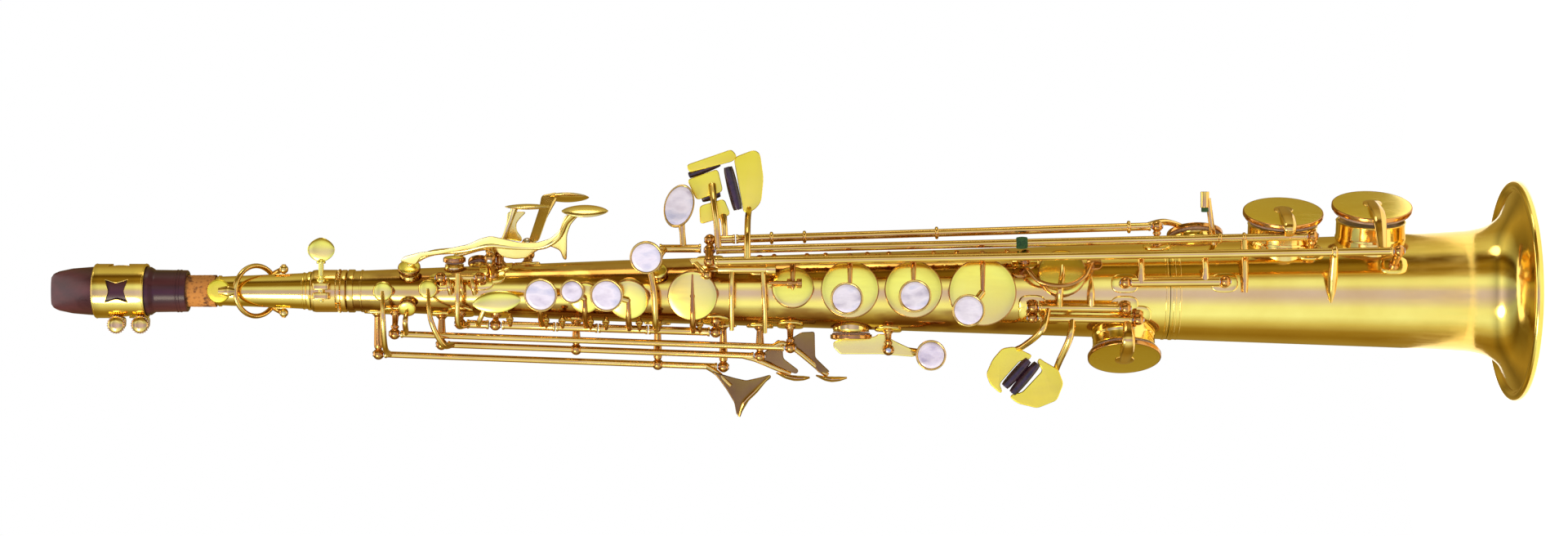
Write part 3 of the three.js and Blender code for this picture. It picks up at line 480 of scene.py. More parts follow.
def grained(name, light, deep, roughness, scale, depth, stretch=(1, 1, 1)):
    """A dull material whose colour and surface follow one grain."""
    look, shader, coords = new_material(name, 0.0, roughness)
    tree = look.node_tree
    grain = noise(tree, coords, scale, 8, stretch)
    tree.links.new(ramp(tree, grain, [(0.35, deep), (0.65, light)]), shader.inputs["Base Color"])
    tree.links.new(span(tree, grain, roughness - 0.08, roughness + 0.08), shader.inputs["Roughness"])
    bump(tree, shader, grain, 0.5, depth)
    return look


def speckled_cork():
    look, shader, coords = new_material("cork", 0.0, 0.88)
    tree = look.node_tree
    cells = tree.nodes.new("ShaderNodeTexVoronoi")
    cells.inputs["Scale"].default_value = 620
    tree.links.new(coords, cells.inputs["Vector"])
    fleck = noise(tree, coords, 260, 9)
    body = ramp(tree, cells.outputs["Distance"], [(0.0, (0.30, 0.10, 0.015)), (0.5, (0.62, 0.235, 0.035))])
    flecks = ramp(tree, fleck, [(0.36, (0.12, 0.06, 0.03)), (0.46, (1, 1, 1))])
    tree.links.new(mixed(tree, "MULTIPLY", 0.85, body, flecks), shader.inputs["Base Color"])
    bump(tree, shader, fleck, 0.8, 0.0003)
    return look


def ebonite():
    """Dark reddish hard rubber, brushed along its length, with a waxy coat."""
    look, shader, coords = new_material("ebonite", 0.0, 0.3)
    tree = look.node_tree
    streak = noise(tree, coords, 160, 6, (1, 1, 0.12))
    tint = ramp(tree, streak, [(0.3, (0.042, 0.010, 0.010)), (0.7, (0.105, 0.027, 0.024))])
    tree.links.new(tint, shader.inputs["Base Color"])
    tree.links.new(span(tree, streak, 0.26, 0.4), shader.inputs["Roughness"])
    bump(tree, shader, noise(tree, coords, 900, 4, (1, 1, 0.1)), 0.16, 0.0001)
    shader.inputs["Specular IOR Level"].default_value = 0.22
    shader.inputs["Coat Weight"].default_value = 0.05
    shader.inputs["Coat Roughness"].default_value = 0.2
    return look


def mother_of_pearl():
    look, shader, coords = new_material("pearl", 0.0, 0.2)
    tree = look.node_tree
    swirl = noise(tree, coords, 150, 7, (1, 0.6, 0.5))
    stops = [(0.30, (0.46, 0.38, 0.40)), (0.44, (0.74, 0.64, 0.60)), (0.54, (0.86, 0.76, 0.70)),
             (0.68, (0.60, 0.56, 0.58))]
    tree.links.new(ramp(tree, swirl, stops), shader.inputs["Base Color"])
    tree.links.new(span(tree, swirl, 0.14, 0.3), shader.inputs["Roughness"])
    bump(tree, shader, swirl, 0.1, 0.0002)
    shader.inputs["Coat Weight"].default_value = 0.3
    shader.inputs["Coat Roughness"].default_value = 0.08
    return look


LACQUER = brass("lacquer", (0.92, 0.64, 0.15), (0.84, 0.55, 0.11), 0.09)
TUBE_LACQUER_WITH_PAINTED_REFLECTION = tube_brass_with_painted_reflection()
KEY_LACQUER = brass("key_lacquer", (0.84, 0.54, 0.15), (0.72, 0.42, 0.09), 0.11)
# a paler copy of the brass for cup domes and front-facing touches: painted highlight
LIT_CUP_LACQUER = brass("lit_cup_lacquer", (1.0, 0.81, 0.17), (0.98, 0.74, 0.12), 0.2)
PALE_LACQUER = brass("pale_lacquer", (0.92, 0.68, 0.22), (0.80, 0.54, 0.14), 0.16)
# a darker copy of the brass for posts, rods, arm spines and cup walls: painted shade and painted reflection
# of the dark room
SHADED_AMBER_LACQUER = brass("shaded_amber_lacquer", (0.62, 0.30, 0.07), (0.46, 0.20, 0.045), 0.13)
TOUCH_LACQUER = brass("touch_lacquer", (1.0, 0.78, 0.075), (0.93, 0.69, 0.05), 0.30)
# a darkened copy of the brass: painted shade on the side-key webs; also used for the thumb rest button and
# the low pads' resonator discs
DARK_LACQUER = brass("dark_lacquer", (0.36, 0.21, 0.045), (0.20, 0.10, 0.025), 0.2)
# a dark copy of the brass for the caps inside the tone holes: painted shade
PAINTED_BORE_SHADE = brass("painted_bore_shade", (0.22, 0.12, 0.05), (0.12, 0.06, 0.03), 0.42)
STEEL = brass("screw_steel", (0.62, 0.58, 0.52), (0.45, 0.41, 0.36), 0.22)
EBONITE = ebonite()
ROLLER = grained("roller_black", (0.050, 0.016, 0.020), (0.018, 0.007, 0.009), 0.28, 420, 0.00004)
PEARL = mother_of_pearl()
LEATHER = grained("pad_leather", (0.50, 0.32, 0.17), (0.33, 0.19, 0.09), 0.62, 900, 0.0001)
FELT = grained("felt", (0.05, 0.13, 0.03), (0.02, 0.06, 0.012), 0.95, 1500, 0.0003)
CORK = speckled_cork()
CANE = grained("cane", (0.80, 0.60, 0.30), (0.62, 0.43, 0.19), 0.58, 900, 0.00006, (1, 1, 0.03))


# ------------------------------------------------------------------ stage, light and camera

# the studio round the saxophone: direction from the front towards +X in degrees, brightness, paleness
STUDIO = [
    (-180, 0.34, 0), (-140, 0.38, 0), (-116, 0.30, 0), (-96, 0.38, 0), (-76, 0.74, 0),
    (-56, 1.06, 0), (-36, 1.04, 0), (-24, 0.86, 0.9), (-12, 0.72, 1.5), (-1, 0.72, 1.6),
    (7, 0.84, 0.6), (15, 1.02, 0), (23, 0.98, 0), (33, 0.46, 0), (42, 0.26, 0), (51, 0.34, 0),
    (63, 0.12, 0), (70, 0.16, 0), (84, 0.74, 0), (98, 0.68, 0), (128, 0.42, 0), (180, 0.34, 0),
]
STUDIO_PEAK = 2.5


def studio_colour(level, pale):
    """Amber where the studio is dim and near white where it is bright, as brass shows it."""
    green = level * (0.45 + 0.8 * level)
    blue = 1.35 * level ** 3 + pale
    return (level / STUDIO_PEAK, green / STUDIO_PEAK, blue / STUDIO_PEAK)


def studio_world():
    world = bpy.data.worlds.new("studio")
    bpy.context.scene.world = world
    world.use_nodes = True
    tree = world.node_tree
    tree.nodes.clear()
    coords = tree.nodes.new("ShaderNodeTexCoord")
    place, height = bearing(tree, coords.outputs["Generated"])
    stops = [((angle + 180) / 360, studio_colour(level, pale)) for angle, level, pale in STUDIO]
    around = ramp(tree, place, stops)
    rise = span(tree, height, 0, 1, (-1, 1))
    tiers = [(0.0, 0.5), (0.3, 0.75), (0.44, 1.0), (0.58, 1.0), (0.68, 0.55), (0.78, 1.15), (0.9, 0.5),
             (1, 0.4)]
    upward = ramp(tree, rise, [(at, (level,) * 3) for at, level in tiers])
    glow = tree.nodes.new("ShaderNodeBackground")
    glow.inputs["Strength"].default_value = STUDIO_PEAK
    tree.links.new(mixed(tree, "MULTIPLY", 1, around, upward), glow.inputs["Color"])
    backdrop = tree.nodes.new("ShaderNodeBackground")
    backdrop.inputs["Color"].default_value = (1, 1, 1, 1)
    backdrop.inputs["Strength"].default_value = 1.0
    path = tree.nodes.new("ShaderNodeLightPath")
    choose = tree.nodes.new("ShaderNodeMixShader")
    tree.links.new(path.outputs["Is Camera Ray"], choose.inputs["Fac"])
    tree.links.new(glow.outputs["Background"], choose.inputs[1])
    tree.links.new(backdrop.outputs["Background"], choose.inputs[2])
    output = tree.nodes.new("ShaderNodeOutputWorld")
    tree.links.new(choose.outputs["Shader"], output.inputs["Surface"])


def soft_light(name, place, target, size, energy, colour):
    lamp = bpy.data.lights.new(name, "AREA")
    lamp.shape = "DISK"
    lamp.size = size
    lamp.energy = energy
    lamp.color = colour
    light = bpy.data.objects.new(name, lamp)
    light.location = place
    light.rotation_mode = "QUATERNION"
    light.rotation_quaternion = (Vector(target) - Vector(place)).to_track_quat("-Z", "Y")
    bpy.context.scene.collection.objects.link(light)


FLOOR_SIDES = 96
FLOOR_GLOW = 0.62
FLOOR_RADIUS = 0.27  # metres; small, so that the brass mirrors the studio and not the floor


def studio_floor():
    paint, shader, coords = new_material("floor_paint", 0.0, 0.9)
    tree = paint.node_tree
    grain = noise(tree, coords, 300, 6)
    tree.links.new(ramp(tree, grain, [(0.3, (0.92, 0.92, 0.92)), (0.7, (0.96, 0.96, 0.96))]),
                   shader.inputs["Base Color"])
    shader.inputs["Emission Color"].default_value = (1, 1, 1, 1)
    shader.inputs["Emission Strength"].default_value = FLOOR_GLOW
    mesh = bpy.data.meshes.new("floor")
    turns = [2 * math.pi * i / FLOOR_SIDES for i in range(FLOOR_SIDES)]
    corners = [(FLOOR_RADIUS * math.cos(a), FLOOR_RADIUS * math.sin(a), 0) for a in turns]
    mesh.from_pydata(corners, [], [tuple(range(FLOOR_SIDES))])
    mesh.materials.append(paint)
    floor = bpy.data.objects.new("floor", mesh)
    bpy.context.scene.collection.objects.link(floor)


CAMERA_PLACE = (0.0106, -1.434, 0.339)  # metres, level with the middle of the saxophone
CAMERA_LENS = 71.3  # millimetres, on a 36 mm sensor


def camera():
    """Level with the middle of the saxophone and turned on its side, so the neck is at the left."""
    lens = bpy.data.cameras.new("camera")
    lens.sensor_width = 36
    lens.lens = CAMERA_LENS
    eye = bpy.data.objects.new("camera", lens)
    eye.location = CAMERA_PLACE
    right, up, back = vec(0, 0, -1), vec(1, 0, 0), vec(0, -1, 0)
    basis = Matrix((right, up, back)).transposed()
    eye.rotation_mode = "QUATERNION"
    eye.rotation_quaternion = basis.to_quaternion()
    bpy.context.scene.collection.objects.link(eye)
    bpy.context.scene.camera = eye


# ------------------------------------------------------------------ repeated fittings

# AMBER is the darker copy of the brass (painted shade and reflection), CUP_FACE the pale copy (painted
# highlight), DARK the dark copy (painted shade on the side webs)
KEY_LOOKS = [KEY_LACQUER, LEATHER, DARK_LACQUER, LIT_CUP_LACQUER, SHADED_AMBER_LACQUER, TOUCH_LACQUER]
METAL, PADDED, DARK, CUP_FACE, AMBER, TOUCH = range(6)  # places in KEY_LOOKS


def angle_of(place):
    return math.degrees(math.atan2(place.x, -place.y))


def shoe(shape, z, angle, half_length, half_width, lift=0.9):
    """A thin oval plate soldered on the tube."""
    rings = []
    for share, height in ((1.0, -0.4), (1.0, 0.55 * lift), (0.96, 0.85 * lift), (0.9, lift), (0.5, lift)):
        ring = []
        for i in range(40):
            a = 2 * math.pi * i / 40
            c, s = math.cos(a), math.sin(a)
            along = math.copysign(abs(c) ** 0.7, c) * half_length * share
            beside = math.copysign(abs(s) ** 0.7, s) * half_width * share
            turn = angle + math.degrees(beside / body_radius(z))
            ring.append(shape.bm.verts.new(above(z + along, turn, height)))
        rings.append(ring)
    centre = shape.bm.verts.new(above(z, angle, lift))
    shape.strip([*rings, [centre]])


POST_SADDLE = (6.2, 4.4)  # half length and half width of the plate under a post


def post(shape, head):
    """A turned post on the tube with the ball that holds a pivot screw."""
    angle = angle_of(head)
    way = outward(angle)
    foot = way * (body_radius(head.z) - 0.4)
    foot.z = head.z
    tall = (head - foot).length
    shape.material = 1
    shoe(shape, head.z, angle, *POST_SADDLE)
    shape.material = 0
    waist = max(tall - 4.2, 1.9)
    profile = [(0, 0), (2.6, 0), (2.6, 1.5), (2.1, 1.9), (1.5, 2.6)]
    if tall > 7:
        shaft = 1.3 if tall < 12 else 2.0
        profile += [(shaft, waist), (1.9, waist + 0.4), (1.9, waist + 1.0)]
    profile += [(1.1, tall - 1.8), (1.1, tall - 0.6), (0, tall - 0.6)]
    shape.turned(rounded(profile, 0.3, 2), foot, way, 20)
    shape.ball(head, 2.65, way, 1.0, 20)


def pivot_tip(shape, head, direction):
    """The slotted end of the pivot screw in a ball."""
    tip = head + direction * 2.2
    shape.turned([(0, 0), (1.25, 0), (1.25, 0.35), (1.05, 0.5), (0, 0.5)], tip, direction, 16)


def hinge_tube(shape, line, top, bottom, radius=TUBE_RADIUS):
    """A hinge tube with a turned collar at each end."""
    start, end = line.at(top), line.at(bottom)
    way = (end - start).normalized()
    length = (end - start).length
    lip = radius + 0.28
    profile = [(0, 0), (lip, 0), (lip, 0.9), (radius, 1.1), (radius, length - 1.1)]
    profile += [(lip, length - 0.9), (lip, length), (0, length)]
    shape.turned(rounded(profile, 0.12, 2), start, way, 24)


def cup(shape, origin, way, radius, base, height, dome=0.9, sides=56):
    """A key cup: a rolled edge and short wall in amber as painted shade, under a low pale dome as painted
    highlight.
    """
    top = base + height
    shoulder = [(radius - 0.02, top - dome - 0.2), (radius - 0.35, top - dome + 0.1)]
    shape.material = AMBER
    wall = [(radius - 0.9, base + 0.1), (radius - 0.9, base), (radius, base), *shoulder,
            (radius - 0.9, top - dome)]
    shape.turned(rounded(wall, 0.25, 3), origin, way, sides)
    shape.material = CUP_FACE
    face = [(radius - 0.3, top - dome + 0.02), (radius * 0.85, top - dome * 0.6),
            (radius * 0.6, top - dome * 0.25), (radius * 0.3, top - dome * 0.05), (0, top)]
    shape.turned([(p.x, p.z) for p in spline([vec(r, 0, h) for r, h in face], 4)], origin, way, sides)
    shape.material = METAL


def pad_cup(shape, z, angle, radius, rise=CHIMNEY_RISE):
    """A shut cup with its leather pad and the domed resonator under it."""
    origin, way = above(z, angle, rise + GAP), outward(angle)
    shape.material = PADDED
    pad = [(0, 0.05), (radius * 0.3, 0.05), (radius - 1.5, 0), (radius - 0.8, 0.35), (radius - 0.75, PAD),
           (0, PAD)]
    shape.turned(rounded(pad, 0.3, 3), origin, way, 48)
    cup(shape, origin, way, radius, PAD - 0.3, CUP + 0.3)


def arm_route(line, z, angle, radius, lift, rise, settle):
    """Points from a hinge line up beside a cup and over to its crown, and the way back to the hinge."""
    hinge = line.at(z)
    back = across(angle) * math.copysign(1, hinge.dot(across(angle)))
    beside = above(z, angle, lift - 1.5) + back * (radius + 1.8)
    over = above(z, angle, lift + rise) + back * radius * 0.72
    return [hinge, beside, over, above(z, angle, lift + settle)], back


def arm_to_cup(shape, line, z, angle, hole_radius, crown_lift, past=0.16):
    """The tapering spine that rises beside a cup and runs to a point past its crown."""
    width = 1.5
    points, back = arm_route(line, z, angle, hole_radius, crown_lift, 0.7, 0.35)
    tip = above(z, angle, crown_lift + 0.05) - back * hole_radius * past
    radii = [width, width * 0.95, width * 0.8, width * 0.55, 0.35]
    shape.material = AMBER
    shape.sweep([*points, tip], radii, square=0.85)
    shape.ball(above(z, angle, crown_lift), 1.15, outward(angle), 0.55, 16)
    shape.material = METAL


def collar(shape, line, z, radius=2.5, width=1.6):
    """A turned ring on a hinge tube."""
    way = line.axis()
    profile = [(0, -width / 2), (radius * 0.8, -width / 2), (radius, -width / 4), (radius, width / 4),
               (radius * 0.8, width / 2), (0, width / 2)]
    shape.turned(rounded(profile, 0.2, 2), line.at(z), way, 24)


def adjuster(shape, line, z, angle):
    """A short arm from a hinge tube that carries an adjusting screw with its lock nut."""
    foot = above(z, angle, 4.2)
    way = outward(angle)
    shape.material = AMBER
    shape.sweep([line.at(z), (line.at(z) + foot) / 2 + way * 1.0, foot], [1.5, 1.3, 1.5], 14, 6, 0.8)
    shape.material = METAL
    profile = [(0, -1.6), (0.8, -1.6), (0.8, 0.9), (1.7, 0.9), (1.7, 1.8), (1.0, 1.9), (1.0, 2.9), (0, 3.0)]
    shape.turned(rounded(profile, 0.12, 2), foot, way, 20)


def seat(shape, centre, direction, radius, scale=(1, 1)):
    """The turned metal holder of a pearl."""
    profile = rounded([
        (0, -0.5), (radius * 0.55, -0.5), (radius - 0.5, 0), (radius, 0.5), (radius, 2.0),
        (radius - 0.35, 2.25), (radius - 0.9, 2.0), (radius - 0.9, 1.2), (0, 1.2),
    ], 0.25, 3)
    shape.turned(profile, centre, direction, 48, scale)


def pearl(name, body, centre, direction, radius, matrix=None, scale=(1, 1)):
    rim = radius - 0.95
    profile = rounded([(0, 1.3), (rim, 1.3), (rim, 2.1), (rim * 0.8, 2.45), (rim * 0.35, 2.3), (0, 2.2)],
                      0.3, 3)
    shape = Shape().turned(profile, centre, direction, 48, scale)
    if matrix:
        shape.moved(matrix)
    make_piece(name.replace("_pearl", "_touch_pearl"), shape, PEARL, body, [name])


def leaf(shape, centre, along, wide, half_length, half_width, half_thickness):
    """A flattened, slightly pointed finger touch."""
    steps = 18
    share = [max(math.sin(math.pi * i / steps), 0.02) ** 0.55 for i in range(steps + 1)]
    ends = [centre - along * half_length, centre + along * half_length]
    shape.sweep(ends, [half_width * s for s in share], 28, steps * 2, half_thickness / half_width, wide)


def chimney(shape, z, angle, radius, rise):
    """A tone hole drawn up out of the tube, with a rolled rim and a dark cap across its inside as painted
    shade.
    """
    way = outward(angle)
    sink = body_radius(z) - math.sqrt(max(body_radius(z) ** 2 - radius ** 2, 1)) + 0.8
    foot = above(z, angle, -sink)
    tall = sink + rise
    flare = min(0.9, rise * 0.5)
    shape.turned(rounded([
        (radius + 0.35, 0), (radius + 0.35, sink), (radius, sink + flare), (radius, tall - 0.5),
        (radius + 0.3, tall - 0.25), (radius + 0.1, tall), (radius - 0.9, tall), (radius - 1.0, tall - 0.4),
        (radius - 1.0, 0),
    ], 0.2, 2), foot, way, 56)
    # the dark cap that closes the hole: painted shade of the bore
    shape.material = 1
    shape.turned([(radius - 0.9, tall - 1.9), (0, tall - 2.3)], foot, way, 56)
    shape.material = 0


FRONT_RIGHT, UPWARD = vec(1, 0, 0), vec(0, 0, 1)


def front_plate(shape, corners, face, thickness=2.0, rounding=2.0, look=TOUCH, tilt=(0, 0)):
    """A polished sheet facing the front; `corners` are (x, z), and `tilt` leans it back per mm in x and z."""
    outline = [tuple(p) for p in Shape.loop_outline(corners, rounding, 5)]
    sheet = sheet_with_holes(outline, [], thickness, min(0.45, thickness * 0.4))
    middle = sum((Vector(p) for p in outline), Vector((0, 0))) / len(outline)
    for vert in sheet.bm.verts:
        x, z, out = vert.co
        lean = (x - middle.x) * tilt[0] + (z - middle.y) * tilt[1]
        vert.co = vec(x, face + thickness / 2 - out + lean, z)
    for part in sheet.bm.faces:
        part.material_index = look
    shape.add(sheet)


# ------------------------------------------------------------------ tone holes and posts of the body

# height, angle, radius, and how far the rim stands above the tube
TONE_HOLES = [
    (450, -8, 4.8, CHIMNEY_RISE), (429.6, -6, 5.6, CHIMNEY_RISE), (409.8, -8, 7.7, CHIMNEY_RISE),
    (380.5, -2, 9.8, CHIMNEY_RISE), (396.4, 30, 3.2, CHIMNEY_RISE), (335, 3, 8.0, CHIMNEY_RISE),
    (309, 0, 11.6, CHIMNEY_RISE), (280.2, 0, 11.5, CHIMNEY_RISE), (248.9, -3, 13.8, CHIMNEY_RISE),
    (212.6, 20, 9.4, CHIMNEY_RISE), (183, -72, 14.2, 5.2), (148, 112, 11.2, 3),
    (110, 76, 15.8, 7.6), (69.5, 76, 15.8, 7.6), (308, -90, 8.2, CHIMNEY_RISE),
    (511, 50, 4.2, CHIMNEY_RISE), (491, 84, 4.2, CHIMNEY_RISE), (480, 118, 4.6, CHIMNEY_RISE),
    (522.5, 0, 3.6, CHIMNEY_RISE), (501.7, 4, 3.5, CHIMNEY_RISE), (511.6, -34, 3.2, CHIMNEY_RISE),
    (505, 175, 2.3, 2),
]

# name, angle, hinge (height, reach), cup (height, radius), touch (height, reach, length), and the arm
# between cup and touch; a reach is a distance from the middle of the bore
PALM_KEYS = [
    ("palm_F_key", 50, (473, 24), (511, 5.2), (429, 47.4, 21),
     [(501, 22.4), (485, 24.6), (473.5, 27.6), (462, 26.4), (449, 26.6), (441.5, 32), (437.6, 41),
      (434, 45.9)]),
    ("palm_E_flat_key", 84, (470, 21), (491, 5.2), (457, 39, 21),
     [(480, 19.6), (470, 21.5), (466, 30), (463, 38.6)]),
    ("palm_D_key", 118, (458, 22), (480, 5.6), (441, 49.5, 21),
     [(468, 20.6), (458, 22.5), (453, 34), (447, 49)]),
]


def ray(angle, z, reach):
    place = outward(angle) * reach
    place.z = z
    return place


HIGH_ROD = (vec(6.2, -13.8, 496), vec(6.2, -14.2, 478))
LOW_ROD = (vec(4.1, -24.5, 184), vec(4.5, -26.5, 139))
GUARD_WIRE = [vec(8, -16.5, 231.5), vec(10.4, -27.5, 229), vec(5, -30.6, 224.5), vec(2.7, -31.6, 217),
              vec(3.4, -31.6, 209), vec(7, -30.6, 203), vec(12.5, -28, 200), vec(11, -15.6, 197.5)]


def front_fittings():
    """Rods, links and stops that stay on the tube between the stacks and the bell keys."""
    shape = Shape()
    for start, end, radius in ((*HIGH_ROD, 1.4), (*LOW_ROD, 2.3)):
        inset = (end - start).normalized() * 2.6
        shape.rod(start + inset, end - inset, radius)
    for z in (492.5, 487, 481.5):
        shape.sweep([vec(6.2, -14, z), vec(1.5, -15.2, z - 0.6), vec(-1.5, -13.8, z - 1)], [1.3, 1.2, 1.0],
                    14, 6)
    for z, x, y in ((177, 15.4, -25.2), (148, 15.6, -26.2)):
        shape.sweep([vec(4.3, y + 0.5, z), vec(9, y - 0.8, z), vec(x, y, z)], [2.6, 1.5, 1.5])
    shape.sweep([above(141.5, 70, -0.4), vec(31, -9.5, 143), vec(42.5, -10, 144.6)], [1.6, 1.3, 1.3])
    shape.rod(vec(45.6, -10, 146), vec(38.2, -10, 146), 2.0)
    make_piece("front_links", shape, KEY_LACQUER, "body")
    wire = Shape()
    wire.sweep(GUARD_WIRE, [1.05], 16, 8)
    for place in (GUARD_WIRE[0], GUARD_WIRE[-1]):
        shoe(wire, place.z, angle_of(place), 3.6, 3.0)
    # the guard wire in the darker amber copy of the brass: painted shade
    make_piece("cup_guard_wire", wire, SHADED_AMBER_LACQUER, "body")
    stop = Shape().rod(vec(38.4, -10, 146), vec(36.2, -10, 146), 1.7, 20, 0.5)
    make_piece("stop_felt", stop, FELT, "body")
    sleeve = Shape().turned(rounded([(0, -2.6), (2.6, -2.6), (2.9, 0), (2.6, 2.6), (0, 2.6)], 0.6, 3),
                            LOW_B_LINE.at(230.7), LOW_B_LINE.axis(), 28)
    make_piece("rod_felt_sleeve", sleeve, FELT, "low_B_key")


def post_heads():
    on_lines = [
        (LEFT_STACK, (487.6, 471.4, 370.3)), (RIGHT_STACK, (350, 229)),
        (LOW_C_SHARP_LINE, (TABLE_POSTS, 168)), (LOW_B_LINE, (TABLE_POSTS, 99)), (LOW_B_FLAT_LINE, (62,)),
        (HIGH_E_LINE, (526.9, 397.5, 367.1)), (SIDE_C_LINE, (496.9, 434.8, 350.1)),
        (SIDE_B_FLAT_LINE, (517.9, 336.1)), (E_FLAT_LINE, (226, 184)), (LOW_C_LINE, (226, 178)),
        (OCTAVE_LINE, (502, 452)),
    ]
    heads = [(line.at(z), line.axis()) for line, heights in on_lines for z in heights]
    for _, angle, (z, reach), *_ in PALM_KEYS:
        for side in (-1, 1):
            heads.append((ray(angle, z, reach) + across(angle) * side * 5.4, across(angle)))
    heads += [(vec(-27, y, 291), vec(0, 1, 0)) for y in (-6.8, 6.8)]
    heads += [(place, vec(0, 0, 1)) for place in (*HIGH_ROD, *LOW_ROD)]
    return heads


def raised_rings(shape, rings, radius_at, softness, steps):
    """Turned bands round a tube; each ring is a height, how far it stands out, and half its width."""
    for z, lift, half in rings:
        inner, outer = radius_at(z) - 0.3, radius_at(z) + lift
        profile = [(inner, z - half), (outer, z - half), (outer, z + half), (inner, z + half)]
        shape.turned(rounded(profile, softness, steps), sides=96)


def tube_skin(low, high, rows):
    """Outside and inside of the tube between two heights, following the outline."""
    heights = [high + (low - high) * i / rows for i in range(rows + 1)]
    heights += [z for z, _ in BODY_OUTLINE if low < z < high]
    heights = sorted(set(heights), reverse=True)
    outer = [(body_radius(z), z) for z in heights]
    inner = [(body_radius(z) - WALL, z) for z in reversed(heights)]
    return outer, inner


def body_parts():
    outer, inner = tube_skin(BELL_SEAM + GAP, BODY_TOP, 24)
    shape = Shape()
    shape.turned([*outer, *inner, outer[0]], sides=96)
    rings = ((BODY_TOP - 1.6, 0.7, 1.5), (533.5, 0.35, 0.5), (BELL_SEAM + 1.6, 0.25, 0.6))
    raised_rings(shape, rings, body_radius, 0.4, 4)
    make_piece("body_tube_skin", shape, TUBE_LACQUER_WITH_PAINTED_REFLECTION, "body", ["body_tube"])

    holes = Shape()
    for z, angle, radius, rise in TONE_HOLES:
        chimney(holes, z, angle, radius, rise)
    make_piece("tone_hole_chimneys", holes, [LACQUER, PAINTED_BORE_SHADE], "body", ["body_tube", "bell"])

    posts = Shape()
    tips = Shape()
    for head, way in post_heads():
        post(posts, head)
        for direction in (way, -way):
            pivot_tip(tips, head, direction)
    head = LOW_B_FLAT_LINE.at(TABLE_POSTS)
    posts.ball(head, 2.45)
    posts.sweep([LOW_B_LINE.at(TABLE_POSTS), head], [2.0, 1.7], 16, 2)
    # posts in the darker amber copy of the brass as painted shade, saddles in the plain lacquer
    make_piece("posts", posts, [SHADED_AMBER_LACQUER, LACQUER], "body", ["body_tube", "bell"])
    make_piece("pivot_screws", tips, STEEL, "body")


def bell_parts():
    flare = [(46, 2.4), (40.6, 4.5), (34.8, 8), (30.4, 14), (28.2, 22), (27.5, 30)]
    curve = spline([vec(r, 0, z) for r, z in flare], 8)
    outer = [(p.x, p.z) for p in curve]
    tube, _ = tube_skin(30, BELL_SEAM, 14)
    outside = [*tube[:-1], *reversed(outer)]
    rim_centre, bead = (RIM_RADIUS - 2.0, 1.95), 1.95
    rim = [(rim_centre[0] + bead * math.cos(a), rim_centre[1] + bead * math.sin(a))
           for a in (math.radians(150 - 15 * i) for i in range(17))]
    inside = [(r - WALL, z - 0.6 if z < 20 else z) for r, z in reversed(outside)]
    inside = [(r, max(z, 0.7)) for r, z in inside if r < 46.5]
    shape = Shape()
    shape.turned([*outside, *rim, *inside, outside[0]], sides=128)
    seam = BELL_SEAM - 1.9
    rings = ((seam, 0.28, 0.7), (seam - 2.6, 0.2, 0.4))
    raised_rings(shape, rings, lambda z: body_radius(seam), 0.4, 4)
    make_piece("bell_skin", shape, LACQUER, "body", ["bell"])


# ------------------------------------------------------------------ keys

def key_piece(name, shape, body=None):
    make_piece(name + "_metal", shape, KEY_LOOKS, body or name, [name])


def stack_key(name, line, tube, hole, pearl_at, turn):
    z, angle, radius = hole
    top = SHUT_CUP_TOP
    shape = Shape()
    pad_cup(shape, z, angle, radius)
    hinge_tube(shape, line, *tube)
    arm_to_cup(shape, line, z, angle, radius, top, past=0.9 if name == "G_key" else 0.16)
    side = -1 if line is LEFT_STACK else 1
    for share in (0.16, 0.84):
        adjuster(shape, line, tube[0] + (tube[1] - tube[0]) * share, side * 44)
    if name == "F_sharp_helper_key":
        helper_links(shape)
    matrix = swing(line, turn)
    if pearl_at:
        x, pearl_z, lift, pearl_radius, route = pearl_at
        centre = vec(x, -body_radius(pearl_z) - lift, pearl_z)
        seat(shape, centre, FRONT, pearl_radius)
        start = route or [above(z, angle, top - 0.3)]
        under, into = centre - FRONT * 1.6, centre + FRONT * 0.4
        shape.sweep([*start, under, into], [1.6, 1.5, 1.9])
        shape.turned(rounded([(0, -2.2), (2.2, -2.0), (3.2, 0), (0, 0.2)], 0.5, 3), centre, FRONT, 24)
        pearl(name.replace("_key", "_pearl"), name, centre, FRONT, pearl_radius, matrix)
    key_piece(name, shape.moved(matrix))


